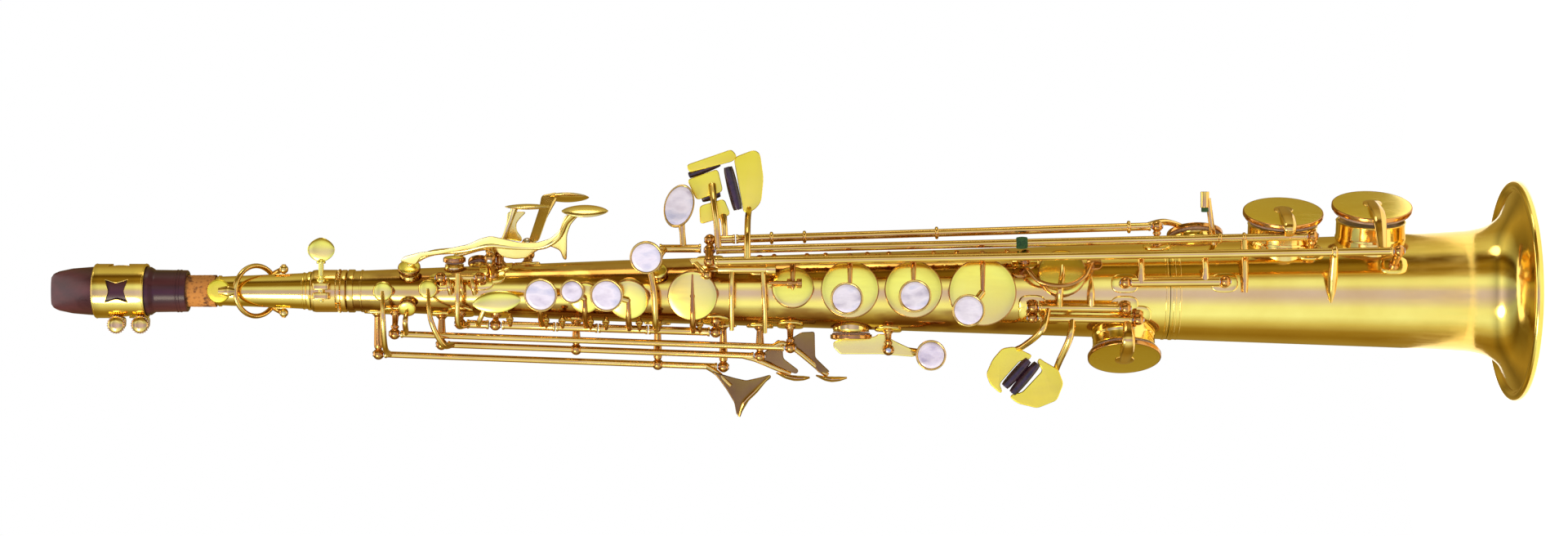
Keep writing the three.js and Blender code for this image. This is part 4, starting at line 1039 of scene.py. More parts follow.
def helper_links(shape):
    """The linkage above the right-hand stack: curved lever, adjusting screw and cross arms."""
    crown = above(335, 3, SHUT_CUP_TOP + 1.6).y
    shape.material = AMBER
    shape.rod(vec(2.7, crown, 346), vec(2.7, crown, 331), 0.9)
    for z in (337.6, 333.2):
        shape.rod(vec(2.7, crown, z), vec(2.7, crown, z - 2.4), 1.9)
    shape.material = METAL
    lever = [(13.7, 382.3), (14.2, 371.4), (11.5, 364.9), (11, 352), (8.8, 350), (8.2, 363.8), (10, 371.4),
             (11.2, 381.2)]
    front_plate(shape, lever, -22.6, 1.5, 1.2, METAL)
    shape.rod(vec(8.8, -23, 369), vec(8.8, -24.4, 345.8), 1.9)
    shape.rod(vec(8.8, -24.3, 347), vec(8.8, -24.5, 342.6), 2.8)
    shape.sweep([RIGHT_STACK.at(346), vec(12.5, -22.5, 344.6), vec(8.8, -24.3, 344.6)], [1.6, 1.5, 1.6])
    shape.sweep([vec(10.4, -23.4, 362.7), vec(0, -24, 362.7), vec(-10, -20, 362.7), vec(-18, -15.5, 362.7)],
                [1.2, 1.2, 1.2, 1.0])
    shape.sweep([vec(8.8, -24.2, 348.6), vec(-2, -23.6, 348), vec(-12, -19, 347.6), vec(-19, -14.6, 347.6)],
                [1.2, 1.2, 1.2, 1.0])
    shape.sweep([vec(11.4, -22.8, 379), vec(8, -26.4, 376), vec(5.8, -27.4, 374)], [1.3, 1.2, 1.3], 14, 6)
    shape.material = AMBER
    shape.ball(vec(5.8, -27.4, 373.9), 2.3)
    shape.material = METAL


def left_hand():
    shape = Shape()
    hinge_tube(shape, LEFT_STACK, 484.5, 474.5)
    arm = [LEFT_STACK.at(483.3), vec(-15.5, -15.8, 487.5), vec(-4, -21.4, 487.5), vec(8, -20.4, 487.5)]
    shape.sweep(arm, [1.4, 1.3, 1.2, 1.1])
    shape.sweep([LEFT_STACK.at(479), vec(-14, -19, 478), vec(-5.5, -23.7, 474)], [1.5, 1.2, 1.2])
    shape.material = CUP_FACE
    leaf(shape, vec(-4.8, -24, 469.4), vec(0.1, 0, -1).normalized(), vec(1, 0, 0.1), 11, 5, 1.3)
    key_piece("front_F_key", shape)

    # name, hinge tube (from, to), cup (height, angle, radius), pearl (x, height, lift, radius, arm)
    g_route = [LEFT_STACK.at(397.5), vec(-13, -19.5, 397.5), vec(2, -23.4, 397.8)]
    keys = [
        ("B_key", (468.3, 444), (450, -8, 6.4), (0.4, 449.3, 9, 7.6, None)),
        ("bis_key", (443.5, 424.5), (429.6, -6, 7.2), (2, 435, 8.4, 5.6, None)),
        ("A_key", (424, 401.5), (409.8, -8, 9.3), (0.4, 419.3, 9, 7.5, None)),
        ("G_key", (401, 373), (380.5, -2, 11.4), (17.6, 401.2, 8, 7.5, g_route)),
    ]
    for name, tube, hole, pearl_at in keys:
        stack_key(name, LEFT_STACK, tube, hole, pearl_at, OPEN_ANGLE)


def g_sharp():
    facing = vec(0.25, -0.97, 0).normalized()
    centre = vec(38.6, -12, 387)
    shape = Shape()
    hinge_tube(shape, G_SHARP_LINE, 396, 377)
    shape.sweep([vec(19.5, -11.5, 385), vec(27, -11.5, 385.6), centre - facing * 0.4], [1.5, 1.3, 2.2])
    seat(shape, centre, facing, 10.3, (1, 0.66))
    pad_cup(shape, 396.4, 30, 4.2)
    crown = above(396.4, 30, CHIMNEY_RISE + 3.4)
    shape.sweep([vec(19.5, -11.5, 393), vec(16.5, -16.5, 395), crown], [1.3, 1.1, 0.8])
    key_piece("G_sharp_key", shape)
    pearl("G_sharp_pearl", "G_sharp_key", centre, facing, 10.3, None, (1, 0.66))


TABLE_FACE = -6.5
LITTLE_FINGER_FACE = -17.0


def table_touch(shape, corners, face=TABLE_FACE, rounding=2.0):
    front_plate(shape, corners, face, 2.0, rounding)


def low_key(name, line, tube, hole, turn, touches):
    z, angle, radius, rise = hole
    lift = rise + PAD + 2 * GAP + CUP
    way = outward(angle)
    shape = Shape()
    hinge_tube(shape, line, *tube)
    origin = above(z, angle, rise + PAD + 2 * GAP)
    cup(shape, origin, way, radius, 0, CUP, 0.7, 72)
    shape.turned([(radius - 0.9, 0.1), (0, 0.1)], origin, way, 72)
    bell_key_arm(shape, line, z, angle, radius, lift)
    matrix = swing(line, turn)
    shape.moved(matrix)
    touches(shape)
    key_piece(name, shape)
    pad = Shape()
    origin = above(z, angle, rise + GAP)
    outline = [(0, 0), (radius - 1.4, 0), (radius - 0.8, 0.35), (radius - 0.8, PAD), (0, PAD)]
    pad.turned(rounded(outline, 0.3, 3), origin, way, 64)
    pad.material = 1
    pad.turned(rounded([(0, -0.25), (4.2, -0.22), (5.4, 0), (5.4, 0.1), (0, 0.1)], 0.2, 2), origin, way, 40)
    make_piece(name.replace("_key", "_pad_disc"), pad.moved(matrix), [LEATHER, DARK_LACQUER], name,
               [name.replace("_key", "_pad")])


def bell_key_arm(shape, line, z, angle, radius, crown_lift):
    """The broad strap of a low key, flat over the cup and turned down to the tube."""
    points, _ = arm_route(line, z, angle, radius, crown_lift, 0.8, 0.3)
    shape.sweep(points, [1.9, 3.0, 3.2, 2.4], 18, 10, 0.5, vec(0, 0, 1), 0.75)
    shape.turned(rounded([(0, 0.2), (4.4, 0.2), (4.4, 0.8), (2.2, 1.3), (0, 1.4)], 0.4, 3),
                 above(z, angle, crown_lift - 0.5), outward(angle), 36)


def little_finger_table():
    lever = Shape()
    hinge_tube(lever, LOW_C_SHARP_LINE, 370, 361.5)
    table_touch(lever, [(39.1, 378), (42.5, 366.5), (35, 363.5), (30.6, 377.6)])
    lever.sweep([LOW_C_SHARP_LINE.at(366), vec(31, -8, 366.5), vec(34.5, -5.8, 367)], [1.4, 1.4, 1.8])
    key_piece("low_C_sharp_lever", lever)

    key = Shape()
    hinge_tube(key, LOW_C_SHARP_LINE, 361, 171)
    for z in (344.7, 329.6, 269, 181):
        collar(key, LOW_C_SHARP_LINE, z, 2.9)
    pad_cup(key, 148, 112, 13, 3)
    crown = above(148, 112, 7.1)
    key.sweep([LOW_C_SHARP_LINE.at(174), above(163, 90, 9.5), crown], [1.5, 1.5, 1.0], 14, 10)
    key_piece("low_C_sharp_key", key)

    def b_touch(shape):
        table_touch(shape, [(51.2, 383.6), (56.2, 369.4), (45.8, 367), (41.7, 379.3)])
        path = [LOW_B_LINE.at(369), vec(29, -17, 369.6), vec(40, -14.2, 371), vec(48.5, -6.2, 372)]
        shape.sweep(path, [1.6, 1.4, 1.4, 1.9])
        counter = [LOW_B_LINE.at(130), above(130, 30, 6), above(130, 12, 3.4), above(130, -1, 2.8)]
        shape.sweep(counter, [1.8, 1.6, 1.5, 1.2])
        for z in (141, 130):
            collar(shape, LOW_B_LINE, z)

    def b_flat_touch(shape):
        right = [(61.4, 362.2), (65, 352.8), (63.3, 350), (52, 348.4), (40.8, 349.5), (36.9, 353),
                 (35.6, 357.6)]
        top = [(58, 383.9), (65.2, 363.1), (62, 360.5), (59.6, 362.5), (54.4, 382.6)]
        table_touch(shape, right, rounding=2.4)
        table_touch(shape, top, rounding=1.6)
        path = [LOW_B_FLAT_LINE.at(355.6), vec(25, -24.5, 355.6), vec(33, -16, 355.5), vec(38.5, -5, 355),
                vec(48, -3.9, 354)]
        shape.sweep(path, [1.6, 1.4, 1.4, 1.4, 1.3])
        counter = [LOW_B_FLAT_LINE.at(91), above(91, 12, 6), above(91, 0, 3), above(91, -11, 1.6)]
        shape.sweep(counter, [1.7, 2.3, 1.8, 0.4])
        collar(shape, LOW_B_FLAT_LINE, 91, 2.8, 2.6)

    low_key("low_B_key", LOW_B_LINE, (370, 101.8), (110, 76, 18.4, 7.6), OPEN_ANGLE, b_touch)
    low_key("low_B_flat_key", LOW_B_FLAT_LINE, (370, 65), (69.5, 76, 18.4, 7.6), OPEN_ANGLE, b_flat_touch)


# name, both ends in (x, z), y and radius
ROLLERS = [
    ("table_roller_long", (57, 364.8), (37.4, 360.2), -5.6, 1.9),
    ("table_roller_top", (53.2, 382.8), (58.8, 368.6), -3.2, 1.3),
    ("table_roller_middle", (42.6, 377), (45.2, 368.6), -1.6, 1.6),
    ("E_flat_roller", (-31.3, 227.5), (-43.5, 238.3), -16.4, 1.7),
    ("low_C_roller", (-33, 223.4), (-46.5, 234.8), -16.4, 1.7),
]


def rollers():
    for name, (x0, z0), (x1, z1), y, radius in ROLLERS:
        start, end = vec(x0, y, z0), vec(x1, y, z1)
        length = (end - start).length
        shape = Shape()
        rows = 12
        barrel = [(0, 0), (radius * 0.55, 0)]
        for i in range(rows + 1):
            swell = 1.0 + 0.35 * math.sin(math.pi * i / rows) ** 0.5
            barrel.append((radius * swell, length * i / rows))
        barrel += [(radius * 0.55, length), (0, length)]
        shape.turned(barrel, start, end - start, 28)
        shape.material = 1
        for place, way in ((start, start - end), (end, end - start)):
            way = way.normalized()
            shape.turned(rounded([(0, -0.2), (0.7, -0.2), (0.7, 0.15), (0, 0.2)], 0.1, 2), place, way, 14)
        make_piece(name + "_barrel", shape, [ROLLER, STEEL], name, [name])


PALM_BLADES = {  # outline in (x, z), y at its middle, and how y runs with x
    "palm_F_key": ([(13.7, 514.7), (15.9, 512.4), (17.8, 504.8), (19, 494.3), (21.4, 482.9), (24, 477.2),
                    (25.2, 472.5), (23.9, 466.8), (22.2, 459.2), (22.2, 451.6), (24, 445.4), (27.6, 441.1),
                    (34.4, 438.5), (35.6, 431), (30.5, 435.9), (25.7, 437.8), (14.2, 438.3), (14.6, 439.9),
                    (18.6, 441.1), (20.7, 445.9), (18.6, 451.6), (15.2, 456.3), (14.6, 462), (15.6, 467.7),
                    (19.3, 471.5), (20, 477.2), (18.6, 485.8), (17.1, 494.3), (15.6, 504.8), (11.8, 507.6)],
                    -18.5, -0.5),
    "palm_E_flat_key": ([(36.5, 466.4), (31.6, 466.8), (24, 468.4), (22.6, 460.1), (24.6, 459.8),
                         (27.8, 462.4), (31.1, 462.5), (33.5, 460.7), (36.5, 457.6)], -3, -0.1),
    "palm_D_key": ([(44.7, 452.7), (46.2, 445.4), (38.8, 448.3), (23, 453.2), (22, 458.2), (38.3, 453.6)],
                   17, 0.5),
}


def palm_keys():
    for name, angle, pivot, hole, touch, route in PALM_KEYS:
        sideways = across(angle)
        centre = ray(angle, *pivot)
        shape = Shape()
        shape.rod(centre - sideways * 2.6, centre + sideways * 2.6, 1.9)
        pad_cup(shape, hole[0], angle, hole[1])
        path = [above(hole[0], angle, CHIMNEY_RISE + 3.7), *[ray(angle, z, reach) for z, reach in route]]
        shape.sweep(path, [1.2, 1.5, 1.6, 1.6, 1.5, 1.4, 1.4, 1.5, 2.0], 18, 6, 0.8, sideways, 0.9)
        outline, middle, lean = PALM_BLADES[name]
        face = CUP_FACE if name == "palm_E_flat_key" else METAL
        front_plate(shape, outline, middle, 1.7, 1.6, face, (lean, 0))
        shape.sweep([centre, ray(angle, pivot[0], pivot[1] + 3.4)], [2.4, 2.2], 16, 2)
        leaf(shape, ray(angle, touch[0], touch[1]), vec(0, 0, -1), sideways, touch[2] / 2, 4.2, 1.3)
        palm_looks = [PALE_LACQUER, *KEY_LOOKS[1:]]
        make_piece(name + "_metal", shape, palm_looks, name, [name])


def right_hand():
    keys = [
        ("F_sharp_helper_key", (347, 325), (335, 3, 9.6), None),
        ("F_key", (324.5, 296.5), (309, 0, 13.2), (-4.9, 310.5, 8.4, 7.4, None)),
        ("E_key", (296, 266), (280.2, 0, 13.1), (-3.8, 279.7, 8.4, 7.4, None)),
        ("D_key", (265.5, 232), (248.9, -3, 15.4), (-10.4, 255.6, 8.2, 7.4, None)),
    ]
    for name, tube, hole, pearl_at in keys:
        stack_key(name, RIGHT_STACK, tube, hole, pearl_at, -OPEN_ANGLE)


def right_little_finger():
    shape = Shape()
    hinge_tube(shape, E_FLAT_LINE, 223, 187)
    pad_cup(shape, 212.6, 20, 11)
    crown = above(212.6, 20, CHIMNEY_RISE + 3.9)
    end = above(212.6, 48, 3.6)
    shape.sweep([E_FLAT_LINE.at(214), above(214, 0, 7.2), crown, end], [1.7, 1.5, 1.3, 0.8])
    shape.sweep([E_FLAT_LINE.at(199.6), above(199.6, 0, 5), above(199.6, 16, 4.2)], [1.7, 1.4, 0.4])
    corners = [(-25.2, 233.9), (-29.2, 225.6), (-31.4, 227.2), (-31.6, 231.2), (-42.4, 240.8),
               (-45.6, 239.2), (-46.6, 240.4), (-42.5, 245), (-37.7, 246.7), (-31.1, 243.8), (-26, 239.4)]
    table_touch(shape, corners, LITTLE_FINGER_FACE, 1.7)
    path = [E_FLAT_LINE.at(219), vec(-17, -28.6, 222), vec(-25, -19, 230), vec(-27.5, -14.2, 234),
            vec(-33, -14, 239)]
    shape.sweep(path, [1.6, 1.5, 1.4, 1.4, 1.0])
    key_piece("E_flat_key", shape)

    def c_touch(touch):
        plate = [(-30.4, 222.4), (-31.8, 220.6), (-35.6, 213.8), (-42.2, 211.4), (-49.8, 214.4),
                 (-53.4, 223.4), (-51.2, 232.4), (-48.4, 236), (-46.8, 234.6), (-46.2, 230.4), (-36, 220.8),
                 (-32.6, 223.6)]
        table_touch(touch, plate, LITTLE_FINGER_FACE, 1.7)
        stalk = [LOW_C_LINE.at(208), vec(-20, -24.8, 209), vec(-32, -18, 213.5), vec(-36.5, -14.2, 215),
                 vec(-42, -14, 218)]
        touch.sweep(stalk, [1.7, 1.6, 1.5, 1.4, 1.0])

    low_key("low_C_key", LOW_C_LINE, (223, 181), (183, -72, 16.8, 5.2), -OPEN_ANGLE, c_touch)


def side_key(name, line, tube, hole, route, touches):
    z, angle, radius = hole
    shape = Shape()
    hinge_tube(shape, line, *tube, 1.5)
    pad_cup(shape, z, angle, radius)
    crown = above(z, angle, CHIMNEY_RISE + 3.6)
    shape.sweep([crown, *route, line.at(tube[0] - 2.5)], [0.8, 1.2, 1.3, 1.3])
    touches(shape)
    key_piece(name, shape)


def side_touch(line, z, foot, sheet, strip):
    """A drop-shaped web under the hinge tube, dark as painted shade, and the upright finger strip along its
    far edge.
    """
    def build(shape):
        root = line.at(z)
        shape.sweep([root, vec(sheet[0][0], root.y, sheet[0][1]), foot], [1.5, 1.2, 1.2])
        front_plate(shape, sheet, (root.y + foot.y) / 2, 1.3, 1.2, DARK)
        wide = vec(0, 1, 0.15)
        shape.sweep([vec(x, foot.y, height) for x, height in strip], [1.2, 3.8, 4.4, 3.6, 1.4], 20, 8, 0.3,
                    wide)
    return build


def side_keys():
    def y_touch(shape):
        path = [HIGH_E_LINE.at(375), vec(-38, 4.4, 370), vec(-44, 3, 363.5)]
        shape.sweep(path, [1.6, 1.6, 1.3], 18, 8, 0.8)
        web = [(-37.1, 372.4), (-40.2, 362), (-41.4, 356.5), (-40, 350), (-38.7, 345.4), (-40, 344.8),
               (-46.5, 352.6), (-52, 356), (-57.8, 359.5), (-57.2, 361), (-51.7, 362), (-45.8, 365.5),
               (-41, 369)]
        # the web in the dark copy of the brass: painted shade
        front_plate(shape, web, 2.5, 1.4, 1.0, DARK)
        blade = [vec(-39, 1, 345.4), vec(-46, 1, 352), vec(-51.7, 1, 357.5), vec(-58, 1, 359.8)]
        shape.sweep(blade, [1.4, 4.0, 4.4, 2.2], 20, 8, 0.28, vec(0, 1, 0))

    side_key("high_E_key", HIGH_E_LINE, (524, 370), (522.5, 0, 4.6),
             [vec(-12, -17, 522), vec(-26, -9, 522)], y_touch)
    c_web = [(-31.6, 352), (-27.8, 347.6), (-22.2, 341.5), (-23.9, 339.8), (-31.1, 339.3), (-36.6, 332.1),
             (-38.3, 333.2), (-36, 340.4), (-32.7, 345.9)]
    b_flat_web = [(-23.9, 339.3), (-18.9, 331), (-18.6, 324.9), (-30.5, 324.6), (-37.2, 317.7),
                  (-37.7, 323.2), (-31.1, 327.1), (-26.7, 332.1)]
    c_strip = [(-37.7, 342.6), (-39.4, 338), (-40.2, 334), (-40.2, 330), (-39.9, 327.1)]
    b_flat_strip = [(-38.8, 324.3), (-40.2, 320), (-40.6, 317), (-40.4, 313.5), (-39.9, 310)]
    side_key("side_C_key", SIDE_C_LINE, (494, 353), (501.7, 4, 4.5),
             [vec(-13, -18.6, 500), vec(-24.6, -12.6, 495)],
             side_touch(SIDE_C_LINE, 358, vec(-38.4, -1, 336), c_web, c_strip))
    side_key("side_B_flat_key", SIDE_B_FLAT_LINE, (515, 339), (511.6, -34, 4.2), [vec(-14, -16, 512)],
             side_touch(SIDE_B_FLAT_LINE, 344, vec(-38.8, -4, 319), b_flat_web, b_flat_strip))


def high_f_sharp():
    shape = Shape()
    pad_cup(shape, 308, -90, 9.6)
    shape.rod(vec(-27, -4, 291), vec(-27, 4, 291), 2)
    path = [above(308, -90, 4.7), vec(-25.5, 0, 300), vec(-27, 0, 291), vec(-28, -1, 280),
            vec(-29.4, -7.6, 271.6)]
    shape.sweep(path, [0.8, 1.8, 2.1, 1.8, 1.9], 16, 8)
    lever = [(-23.5, 316.3), (-22.6, 313.8), (-21, 297), (-19.8, 295.7), (-20, 290.7), (-22.3, 289.5),
             (-27.3, 278.9), (-30.4, 278.9), (-29.1, 294.5), (-29.1, 313.2), (-25.8, 316.3)]
    front_plate(shape, lever, -2.6, 1.6, 1.2, CUP_FACE)
    centre = vec(-29.4, -9, 271.6)
    seat(shape, centre, FRONT, 7)
    key_piece("high_F_sharp_key", shape)
    pearl("high_F_sharp_pearl", "high_F_sharp_key", centre, FRONT, 7)


# ------------------------------------------------------------------ thumb side and octave mechanism

def octave_mechanism():
    lever = Shape()
    hinge_tube(lever, OCTAVE_LINE, 482.5, 455)
    lever.sweep([OCTAVE_LINE.at(466), vec(3, 25, 465), vec(-1, 24.8, 463)], [1.5, 1.4, 1.8])
    leaf(lever, vec(-2, 24.5, 462), vec(0, 0, -1), vec(1, 0, 0), 9, 6, 1.2)
    key_piece("thumb_octave_lever", lever)

    vent = Shape()
    hinge_tube(vent, OCTAVE_LINE, 499, 483)
    pad_cup(vent, 505, 175, 2.9, 2)
    vent.sweep([OCTAVE_LINE.at(496), vec(4, 21, 499), above(505, 175, 5.1)], [1.3, 1.2, 0.8])
    key_piece("body_octave_key", vent)


def thumb_fittings():
    rest = Shape()
    profile = [(0, 0), (5.4, 0), (5.4, 1.6), (6.2, 2.2), (6.2, 3), (4.6, 3.7), (0, 4.1)]
    rest.turned(rounded(profile, 0.5, 4), above(438, 180, GAP), outward(180), 48)
    make_piece("thumb_rest_button", rest, DARK_LACQUER, "body", ["thumb_rest"])

    back = above(249, 180, GAP + 1.2).y
    hook = Shape()
    shoe(hook, 262, 180, 13, 6.5, 2.4)
    crook = [vec(0, back + 0.6, 262), vec(0, back + 9, 263), vec(0, back + 17, 258), vec(0, back + 19, 248)]
    hook.sweep(crook, [2.6, 3.0, 3.6, 2.6], 24, 10, 0.7, vec(1, 0, 0), 0.85)
    for z in (253, 271):
        hook.turned(rounded([(0, 0), (1.7, 0), (1.5, 0.9), (0, 1.1)], 0.3, 3), vec(0, back + 0.9, z),
                    vec(0, 1, 0), 20)
    make_piece("thumb_hook_crook", hook, LACQUER, "body", ["thumb_hook"])

    plate = above(338, 180, GAP + 0.6).y
    ring = Shape()
    shoe(ring, 345, 180, 7, 4, 1.4)
    ring.torus(vec(0, plate + 5.6, 345), vec(1, 0, 0), 5.4, 1.3, 56, 16)
    make_piece("sling_ring_loop", ring, LACQUER, "body", ["sling_ring"])


# ------------------------------------------------------------------ neck

NECK_LOW, NECK_TOP = 557, 613


def neck_radius(z):
    return 8.4 + (z - NECK_LOW) * (6.1 - 8.4) / (NECK_TOP - NECK_LOW)


def neck_parts():
    neck = Shape()
    lower = [(8.0, BODY_TOP + 1), (8.0, 556.8), (8.9, 556.9), (9.0, 557.4), (8.9, 558.4), (8.4, 558.8)]
    upper = [(neck_radius(z), z) for z in (566, 580, 594, 606, NECK_TOP)]
    inside = [(5.2, NECK_TOP), (7.0, BODY_TOP + 1), (8.0, BODY_TOP + 1)]
    neck.turned([*lower, *upper, *inside], sides=96)
    raised_rings(neck, ((599.2, 0.5, 0.7), (560.4, 0.35, 0.4)), neck_radius, 0.3, 3)
    neck.turned(rounded([(0, 0), (3.0, 0), (2.6, 1.0), (2.0, 1.4), (2.0, 3.0), (0, 3.0)], 0.3, 3),
                vec(0, -5.9, 598.7), FRONT, 32)
    for side in (-1, 1):
        neck.rod(vec(side * 6.6, -1, 569.8), vec(side * 7.8, -1, 569.8), 1.6)
        neck.plate([(-2.4, -4), (2.4, -4), (2.4, 4), (-2.4, 4)], vec(side * 7.5, -1, 569.8),
                   vec(0, side, 0), UPWARD, 0.5, 1.0, 0.15)
    make_piece("neck_pipe", neck, LACQUER, "neck", ["neck"])

    cork = Shape()
    rows = 26
    outer = [(7.4 - 0.2 * i / rows + 0.03 * math.sin(i * 2.4), 601 + 24 * i / rows)
             for i in range(rows + 1)]
    cork.turned([(7.0, 600.9), *outer, (6.9, 625.2), (6.4, 625.2), (6.4, 613), (7.0, 601)], sides=72)
    make_piece("neck_cork_sleeve", cork, CORK, "neck", ["neck_cork"])


CLAMP_Y, CLAMP_Z = -12.4, 550.9


def receiver_parts():
    ring = Shape()
    base, top, radius = BODY_TOP + GAP, 556.6, 9.8
    outside = [(radius - 0.5, base), (radius, base + 0.4), (radius, base + 2.4),
               (radius - 0.55, base + 2.9), (radius - 0.55, base + 4.4), (radius, base + 4.9),
               (radius, top - 1.6), (radius - 0.3, top - 0.3), (radius - 0.8, top)]
    ring.turned([*rounded(outside, 0.25, 3), (8.3, top), (8.3, base), (radius - 0.5, base)], sides=96)
    knurls = 30
    for i in range(knurls):
        turn = 40 + 280 * i / (knurls - 1)
        place = outward(turn) * (radius - 0.1)
        place.z = base + 3.65
        ring.ball(place, 0.62, outward(turn), 0.7, 8)
    for x in (-2.2, 2.2):
        corners = [(-4, -4), (4, -4), (4, 4), (-4, 4)]
        ring.plate(corners, vec(x - 1.5, CLAMP_Y + 1.2, CLAMP_Z), vec(0, 1, 0), UPWARD, 3.0, 2.2, 0.35)
    make_piece("receiver_ring", ring, KEY_LACQUER, "body", ["neck_receiver"])

    screw = Shape()
    screw.rod(vec(-5, CLAMP_Y, CLAMP_Z), vec(14.6, CLAMP_Y, CLAMP_Z), 1.2)
    screw.turned(rounded([(0, 0), (2, 0), (2, 1.2), (1.5, 1.5), (1.5, 2.2), (2, 2.5), (2, 2.8), (0, 2.8)],
                         0.2, 2),
                 vec(4.2, CLAMP_Y, CLAMP_Z), vec(1, 0, 0), 28)
    screw.turned(rounded([(0, 0), (2.1, 0), (2.1, 0.9), (1.4, 1.6), (0, 1.6)], 0.3, 2),
                 vec(12.6, CLAMP_Y, CLAMP_Z), vec(1, 0, 0), 28)
    leaf(screw, vec(18.9, CLAMP_Y, CLAMP_Z), vec(1, 0, 0), UPWARD, 5.6, 6.3, 1.15)
    # the paddle in the pale copy of the brass: painted highlight
    make_piece("clamp_screw_paddle", screw, LIT_CUP_LACQUER, "neck_clamp_screw",
               ["neck_clamp_screw"])


def neck_octave():
    key = Shape()
    loop = Matrix.Translation(vec(0, 0, 582.7)) @ Matrix.Rotation(math.radians(-36), 4, "X")
    oval = Shape().torus(vec(0, 0, 0), UPWARD, 11.6, 1.15, 80, 14, (1, 1.14))
    key.add(oval.moved(loop))
    for side in (-1, 1):
        arm = [vec(side * 9.9, -0.6, 569.8), vec(side * 9.4, 4, 572.5), vec(side * 7.4, 8.3, 576.7)]
        key.sweep(arm, [1.4, 1.2, 1.3])
        key.ball(vec(side * 10, -1, 569.8), 2.1)
        key.turned(rounded([(0, 0), (1.0, 0), (1.0, 0.5), (0, 0.6)], 0.15, 2), vec(side * 11.8, -1, 569.8),
                   vec(side, 0, 0), 16)
    key.sweep([vec(0, -10.8, 590.4), vec(0, -12, 593.5), vec(0, -11.9, 598)], [1.6, 2.6, 1.6], 16, 8, 0.6,
              vec(1, 0, 0))
    key.material = TOUCH
    key.turned(rounded([(0, 1.1), (5.3, 1.1), (5.5, 2.0), (5.0, 2.7), (3.0, 3.0), (0, 3.1)], 0.3, 3),
               vec(0, -9.2, 598), FRONT, 48)
    key.material = 1
    key.turned(rounded([(0, 0), (3.7, 0), (4.0, 0.5), (4.0, 1.2), (0, 1.2)], 0.3, 3), vec(0, -9.2, 598),
               FRONT, 40)
    key_piece("neck_octave_key", key)


# ------------------------------------------------------------------ mouthpiece

TABLE_Y = 7.4
MOUTHPIECE_LOW = 614
TIP_Z = 678.5
REED_BUTT = 631
REED_VAMP = 655  # where the bark ends
REED_TIP = TIP_Z - 0.6
BEAK_START = 654.6


def mouthpiece_radius(z):
    outline = [(MOUTHPIECE_LOW, 9.6), (629, 9.8), (631, 11.1), (655, 11.4), (668, 10.4), (674.6, 9.1),
               (677.3, 8.0), (TIP_Z, 6.3)]
    for (z0, r0), (z1, r1) in zip(outline, outline[1:]):
        if z <= z1:
            return r0 + (z - z0) * (r1 - r0) / (z1 - z0)
    return outline[-1][1]


def beak_y(z):
    """How far forward the sloping beak reaches at a height."""
    t = max(0.0, (z - BEAK_START) / (TIP_Z - BEAK_START))
    return -11.4 + 15.4 * t ** 1.15


def mouthpiece_parts():
    sides, rings = 96, []
    beak = Shape()
    heights = [MOUTHPIECE_LOW, 614.3, 616, 620, 624, 628, 629, 629.3, 629.8, 630.5, 631, 633, 636, 640, 645,
               650, 653]
    heights += [BEAK_START + (TIP_Z - BEAK_START) * i / 24 for i in range(25)]
    for z in heights:
        radius = mouthpiece_radius(z) - (0.3 if z < 614.2 else 0.0)
        ring = []
        for i in range(sides):
            a = 2 * math.pi * i / sides
            x, y = radius * math.cos(a), radius * math.sin(a)
            y = min(y, TABLE_Y) if z > 629.4 else y
            if z >= BEAK_START:
                y = TABLE_Y - (TABLE_Y - y) * (TABLE_Y - beak_y(z)) / (TABLE_Y + radius)
            ring.append(beak.bm.verts.new(vec(x, y, z)))
        rings.append(ring)
    tip = beak.bm.verts.new(vec(0, (beak_y(TIP_Z) + TABLE_Y) / 2, TIP_Z + 0.1))
    bore = []
    for radius, z in ((7.8, MOUTHPIECE_LOW), (7.6, 614.4), (7.6, 636), (0, 640)):
        if radius:
            bore.append([beak.bm.verts.new(vec(radius * math.cos(2 * math.pi * i / sides),
                                               radius * math.sin(2 * math.pi * i / sides), z))
                         for i in range(sides)])
        else:
            bore.append([beak.bm.verts.new(vec(0, 0, z))])
    beak.strip([*reversed(bore), *rings, [tip]])
    raised_rings(beak, ((617.2, 0.22, 0.35), (618.6, 0.22, 0.35)), mouthpiece_radius, 0.2, 3)
    make_piece("mouthpiece_beak", beak, EBONITE, "mouthpiece", ["mouthpiece"])

    reed = Shape()
    rows, columns = 40, 24
    layers = []
    for i in range(rows + 1):
        z = REED_BUTT + (REED_TIP - REED_BUTT) * i / rows
        half = 5.7 + 0.5 * i / rows
        if z > TIP_Z - 3:
            half *= math.sqrt(max(1 - ((z - TIP_Z + 3) / 2.9) ** 2 * 0.35, 0.1))
        ring = []
        for k in range(columns + 1):
            x = -1 + 2 * k / columns
            bark = 2.1 - 0.75 * x * x
            vamp = max(0.0, (z - REED_VAMP) / (REED_TIP - REED_VAMP))
            thick = bark if z < REED_VAMP - 3 * x * x else max(0.12, bark * (1 - vamp) ** 1.1)
            ring.append(vec(x * half, TABLE_Y + GAP + thick, z))
        ring += [vec(half, TABLE_Y + GAP, z), vec(-half, TABLE_Y + GAP, z)]
        layers.append([reed.bm.verts.new(p) for p in ring])
    butt = reed.bm.verts.new(vec(0, TABLE_Y + GAP + 0.9, REED_BUTT))
    end = reed.bm.verts.new(vec(0, TABLE_Y + GAP + 0.05, REED_TIP))
    reed.strip([[butt], *layers, [end]])
    make_piece("reed_blade", reed, CANE, "mouthpiece", ["reed"])


LIGATURE_LOW, LIGATURE_TOP = 632.7, 656.5
LIGATURE_RADIUS = 12.1
SCREW_X = -15.4
SCREW_HEIGHTS = (646, 635)


